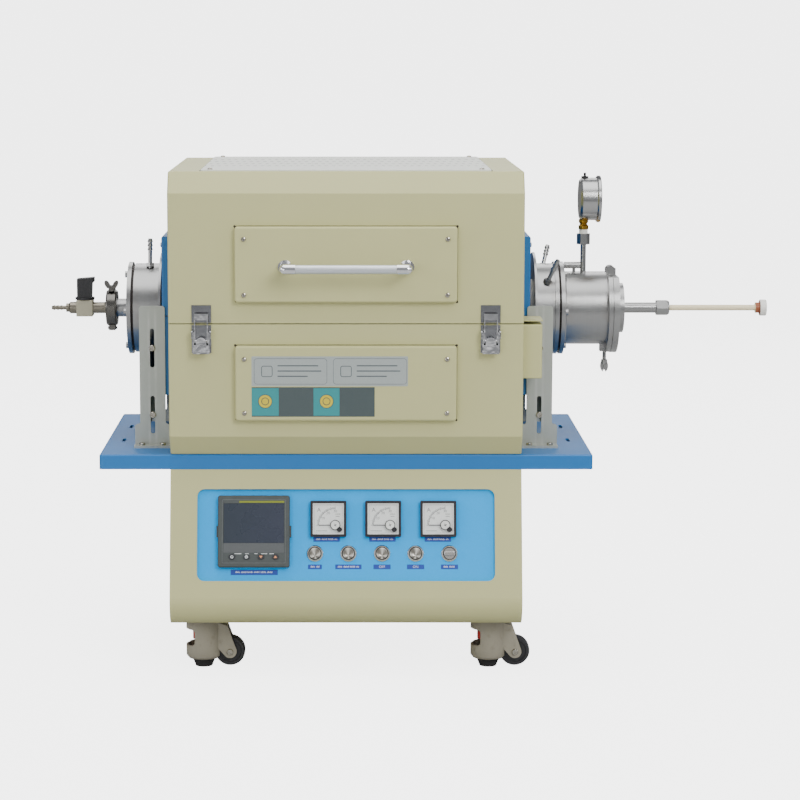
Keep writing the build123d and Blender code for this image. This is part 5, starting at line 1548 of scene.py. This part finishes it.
class FURNACE_OT_fasteners(Furnace, bpy.types.Operator):
    """Cross-recessed and socket screws wherever sheets, stands and axles are held"""

    bl_idname = "furnace.fasteners"
    bl_label = "Drive the fasteners"

    LIP = 12.0                      # from the vent plate's edges to its screws
    COVER_SCREWS = 96.0
    AXLE_HALF = 13.0

    def source(self, name, profile, recess, depth):
        """One screw head with its recess cut, in metres, standing up z from its seat."""
        head, cut = bmesh.new(), bmesh.new()
        add_lathe(head, profile, 24)
        for outline in recess:
            add_slab(cut, outline, profile[-1][1] - depth, profile[-1][1] + 1)
        body = bpy.data.objects.new(name, mesh_from(head, name, Matrix.Scale(MM, 4)))
        tool = bpy.data.objects.new(name + "_recess", mesh_from(cut, name, Matrix.Scale(MM, 4)))
        for item in (body, tool):
            bpy.context.scene.collection.objects.link(item)
        source = bpy.data.objects.new(name, carved(body, tool, name))
        bpy.context.scene.collection.objects.link(source)
        return source

    def execute(self, context):
        radius = self.details.screw_radius / MM
        pan = [(0, 0), (radius, 0), (radius, 0.8), (radius * 0.85, 1.6), (radius * 0.5, 2.1)]
        pan.append((0, 2.2))
        screw = self.source("pan_screw", pan, [self.cross(radius * 0.58, 0.45)], 1.1)
        hexagon = [(0, 0), (4.2, 0), (4.2, 2.6), (3.6, 3.2), (0, 3.2)]
        socket = self.source("socket_screw", hexagon, [disc_outline(1.9, 6)], 1.6)
        steel = polished_metal("screw_zinc", linear(176, 172, 160), 0.2)
        plan = scattered_plan(steel)
        rows = self.front_rows(screw) + self.end_rows(screw) + self.stand_rows(socket)
        rows += self.hinge_rows(screw)
        for i in range(1, 5):
            wheel = (low(f"castor_wheel_{i}") + high(f"castor_wheel_{i}")) / 2
            rows.append((
                f"axle_screw_{i}", socket, FRONTWARDS, f"castor_fork_{i}",
                [(wheel.x, wheel.y - self.AXLE_HALF, wheel.z)],
            ))
        for name, piece, facing, body, places in rows:
            grown = plan.grown(points_mesh([spot(*p) for p in places], name), name, {
                "Piece": piece, "Facing": facing, "Size": 1.0, "Turn": 0.9,
            })
            settle(name, grown, steel, body)
        for piece in (screw, socket):
            bpy.data.objects.remove(piece)
        return {"FINISHED"}

    def front_rows(self, screw):
        plate_x = (-134.5, 133.5)
        start, end = low("vent_plate"), high("vent_plate")
        vent_x, vent_y = ((a + self.LIP, b - self.LIP) for a, b in zip(start[:2], end[:2]))
        return [
            ("plate_screws_lower", screw, FRONTWARDS, "stand",
             [(x, PLATE_FRONT, z) for x in plate_x for z in (-46.0, -118.0)]),
            ("plate_screws_upper", screw, FRONTWARDS, "lid",
             [(x, PLATE_FRONT, z) for x in plate_x for z in (112.6, 39.0)]),
            ("vent_screws", screw, UPWARDS, "lid",
             [(x, y, end.z) for x in vent_x for y in vent_y]),
        ]

    def end_rows(self, screw):
        away = self.COVER_SCREWS
        return [
            (f"cover_screws_{side}_{part}", screw, facing, body,
             [(corner(f"end_covers_{part}").x, y, rise * away) for y in (-away, away)])
            for part, body, rise in (("upper", "lid", 1), ("lower", "stand", -1))
            for side, facing, corner in (("left", LEFTWARDS, low), ("right", RIGHTWARDS, high))
        ]

    def stand_rows(self, socket):
        front = low("flange_stands").y + STAND_FOOT
        back = high("flange_stands").y - STAND_FOOT
        return [
            ("stand_bolts", socket, UPWARDS, "stand",
             [(side * STAND_X + dx, end * 122.0, SHELF_TOP + 3.0)
              for side in (-1, 1) for end in (-1, 1) for dx in (-14, 14)]),
            ("slot_bolts_front", socket, FRONTWARDS, "stand",
             [(side * STAND_X, front, z) for side in (-1, 1) for z in SLOT_BOLTS]),
            ("slot_bolts_back", socket, BACKWARDS, "stand",
             [(side * STAND_X, back, z) for side in (-1, 1) for z in SLOT_BOLTS]),
        ]

    def hinge_rows(self, screw):
        return [
            (f"hinge_screws_{part}", screw, BACKWARDS, body,
             [(side * 150.0 + dx, HEARTH_BACK + 2.5, z)
              for side in (-1, 1) for dx in (-20, 0, 20)])
            for part, body, z in (("lid", "lid", 28.0), ("base", "stand", -28.0))
        ]

    def cross(self, reach, half):
        """A cross-shaped outline for a driver's recess."""
        corners = []
        for quarter in range(4):
            turn = quarter * pi / 2
            for a, b in ((reach, -half), (reach, half), (half, half)):
                corners.append((a * cos(turn) - b * sin(turn), a * sin(turn) + b * cos(turn)))
        return corners


class FURNACE_OT_castor_housings(Furnace, bpy.types.Operator):
    """The castors' cast housings with the notch that a finger turns the thumbwheel through"""

    bl_idname = "furnace.castor_housings"
    bl_label = "Cut the castor housings"

    NOTCH_X = (-30.0, -11.5)
    NOTCH_Z = (31.0, 53.0)
    REACH = 30.0

    def execute(self, context):
        casting = cast_paint("housing_paint", tuple(self.paints.casting))
        for i in range(1, 5):
            node = f"castor_fork_{i}"
            middle = (low(f"levelling_foot_{i}") + high(f"levelling_foot_{i}")) / 2
            piece = bpy.data.objects.new("uncut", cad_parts[node].data.copy())
            tool = bpy.data.objects.new("notch", self.notch(middle))
            for item in (piece, tool):
                bpy.context.scene.collection.objects.link(item)
            mesh = carved(piece, tool, f"castor_housing_{i}")
            housing = settle(f"castor_housing_{i}", mesh, casting, node)
            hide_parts(node)
        return {"FINISHED"}

    def notch(self, middle):
        """A block with rounded inner edges, in the place of a housing's notch."""
        shape = bmesh.new()
        outline = rounded(
            self.NOTCH_X[1] - self.NOTCH_X[0], self.NOTCH_Z[1] - self.NOTCH_Z[0], 4.0, 5,
            middle.x + sum(self.NOTCH_X) / 2, FLOOR + sum(self.NOTCH_Z) / 2,
        )
        add_slab(shape, outline, -self.REACH, self.REACH)
        return mesh_from(shape, "notch", facing_front(0, middle.y, 0))


class FURNACE_OT_threads(Furnace, bpy.types.Operator):
    """The thread that shows on the swing bolt"""

    bl_idname = "furnace.threads"
    bl_label = "Cut the threads"

    def execute(self, context):
        steel = plain_steel("thread_steel")
        plan = thread_plan(steel)
        box_low, box_high = low("swing_bolt"), high("swing_bolt")
        middle = (box_low.x + box_high.x) / 2
        ridge = plan.grown(points_mesh([(0, 0, 0)], "seed"), "bolt_thread", {
            "Radius": 2.5, "Turns": float(self.details.bolt_turns), "Length": 9.5, "Depth": 0.32,
        })
        ridge.transform(facing_up(middle, 0, -72.6))
        settle("bolt_thread", ridge, steel, "swing_bolt")
        return {"FINISHED"}


class FURNACE_OT_stage(Furnace, bpy.types.Operator):
    """Camera, pale floor with a swept-up back, and soft studio lights"""

    bl_idname = "furnace.stage"
    bl_label = "Set the stage"

    def execute(self, context):
        stage = bpy.context.scene.furnace_stage
        camera = bpy.data.cameras.new("camera")
        camera.lens = stage.lens
        camera.sensor_width = 36.0
        camera.shift_x = stage.shift
        camera.clip_end = 50.0
        eye = bpy.data.objects.new("camera", camera)
        eye.location = AXIS + Vector((0, -stage.distance, stage.rise))
        eye.rotation_euler = (stage.tilt, 0, 0)
        bpy.context.scene.collection.objects.link(eye)
        bpy.context.scene.camera = eye
        self.floor(stage)
        self.light("key", (1.3, -2.7, 2.1), 1.3, stage.key_light)
        self.light("top", (-0.2, -0.3, 2.9), 2.6, stage.top_light)
        self.light("left", (-3.0, -1.0, 1.3), 1.2, stage.fill_light)
        self.light("right", (3.1, -0.9, 1.5), 1.2, stage.fill_light)
        self.light("back", (0.0, 2.9, 2.3), 1.8, stage.back_light)
        self.light("front", (-1.7, -3.1, 0.75), 1.5, stage.front_light)
        world = bpy.data.worlds.new("studio")
        world.use_nodes = True
        background = world.node_tree.nodes["Background"]
        background.inputs["Color"].default_value = (0.94, 0.96, 1.0, 1)
        path = world.node_tree.nodes.new("ShaderNodeLightPath")
        seen = Wire(world.node_tree, path.outputs["Is Camera Ray"])
        strength = seen * stage.paper_glow + stage.sky
        world.node_tree.links.new(strength.socket, background.inputs["Strength"])
        bpy.context.scene.world = world
        return {"FINISHED"}

    def floor(self, stage):
        """A floor that curves up into a back wall, wide enough for every view."""
        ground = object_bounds()[0][2]
        reach, radius, wall, front, half = 7.0, 2.0, 6.0, 16.0, 16.0
        profile = [(-front, ground), (reach - radius, ground)]
        for step in range(1, 13):
            angle = step / 12 * pi / 2
            out, rise = radius * sin(angle), radius * (1 - cos(angle))
            profile.append((reach - radius + out, ground + rise))
        profile.append((reach, wall))
        shape = bmesh.new()
        rows = [[shape.verts.new((x, y, z)) for y, z in profile] for x in (-half, half)]
        for i in range(len(profile) - 1):
            shape.faces.new((rows[0][i], rows[1][i], rows[1][i + 1], rows[0][i + 1]))
        mesh = bpy.data.meshes.new("floor")
        shape.to_mesh(mesh)
        shape.free()
        paper = Finish("studio_paper", (0.5, 0.5, 0.5), roughness=0.9)
        paper.feed(paper.shader.inputs["Emission Color"], (1.0, 1.0, 1.0))
        seen = paper.node("ShaderNodeLightPath", output="Is Camera Ray")
        paper.feed(paper.shader.inputs["Emission Strength"], seen * stage.paper_glow)
        mesh.materials.append(paper.material)
        floor = bpy.data.objects.new("floor", mesh)
        bpy.context.scene.collection.objects.link(floor)
        floor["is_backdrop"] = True

    def light(self, name, place, size, power):
        lamp = bpy.data.lights.new(name, "AREA")
        lamp.shape = "SQUARE"
        lamp.size = size
        lamp.energy = power
        holder = bpy.data.objects.new(name, lamp)
        holder.location = Vector(place)
        aim = Vector((0, 0, 0.35)) - Vector(place)
        holder.rotation_euler = aim.to_track_quat("-Z", "Y").to_euler()
        bpy.context.scene.collection.objects.link(holder)


class FURNACE_PT_workbench(bpy.types.Panel):
    """Lists the furnace's finishing steps"""

    bl_idname = "FURNACE_PT_workbench"
    bl_label = "Tube Furnace"
    bl_space_type = "VIEW_3D"
    bl_region_type = "UI"
    bl_category = "Tube Furnace"

    def draw(self, context):
        for step in STEPS:
            self.layout.operator(step.bl_idname)
        for group in ("furnace_paints", "furnace_details", "furnace_stage"):
            settings = getattr(context.scene, group)
            column = self.layout.column(align=True)
            for key in settings.bl_rna.properties.keys():
                if key not in ("rna_type", "name"):
                    column.prop(settings, key)


STEPS = (
    FURNACE_OT_dress_bodywork,
    FURNACE_OT_dress_instruments,
    FURNACE_OT_dress_fittings,
    FURNACE_OT_panel_print,
    FURNACE_OT_plate_fields,
    FURNACE_OT_meter_dials,
    FURNACE_OT_controller_face,
    FURNACE_OT_gauge_dial,
    FURNACE_OT_fasteners,
    FURNACE_OT_castor_housings,
    FURNACE_OT_threads,
    FURNACE_OT_stage,
)
GROUPS = {
    "furnace_paints": FurnacePaints,
    "furnace_details": FurnaceDetails,
    "furnace_stage": FurnaceStage,
}


def register():
    for group in GROUPS.values():
        bpy.utils.register_class(group)
    for name, group in GROUPS.items():
        setattr(bpy.types.Scene, name, bpy.props.PointerProperty(type=group))
    for step in STEPS:
        bpy.utils.register_class(step)
    bpy.utils.register_class(FURNACE_PT_workbench)


def unregister():
    bpy.utils.unregister_class(FURNACE_PT_workbench)
    for step in reversed(STEPS):
        bpy.utils.unregister_class(step)
    for name in GROUPS:
        delattr(bpy.types.Scene, name)
    for group in reversed(list(GROUPS.values())):
        bpy.utils.unregister_class(group)


def corners(box):
    return [[float(value) for value in corner] for corner in box]


def main():
    register()
    for step in STEPS:
        area, name = step.bl_idname.split(".")
        if getattr(getattr(bpy.ops, area), name)() != {"FINISHED"}:
            raise RuntimeError(f"{step.bl_label} did not finish")


if __name__ == "__main__":
    main()
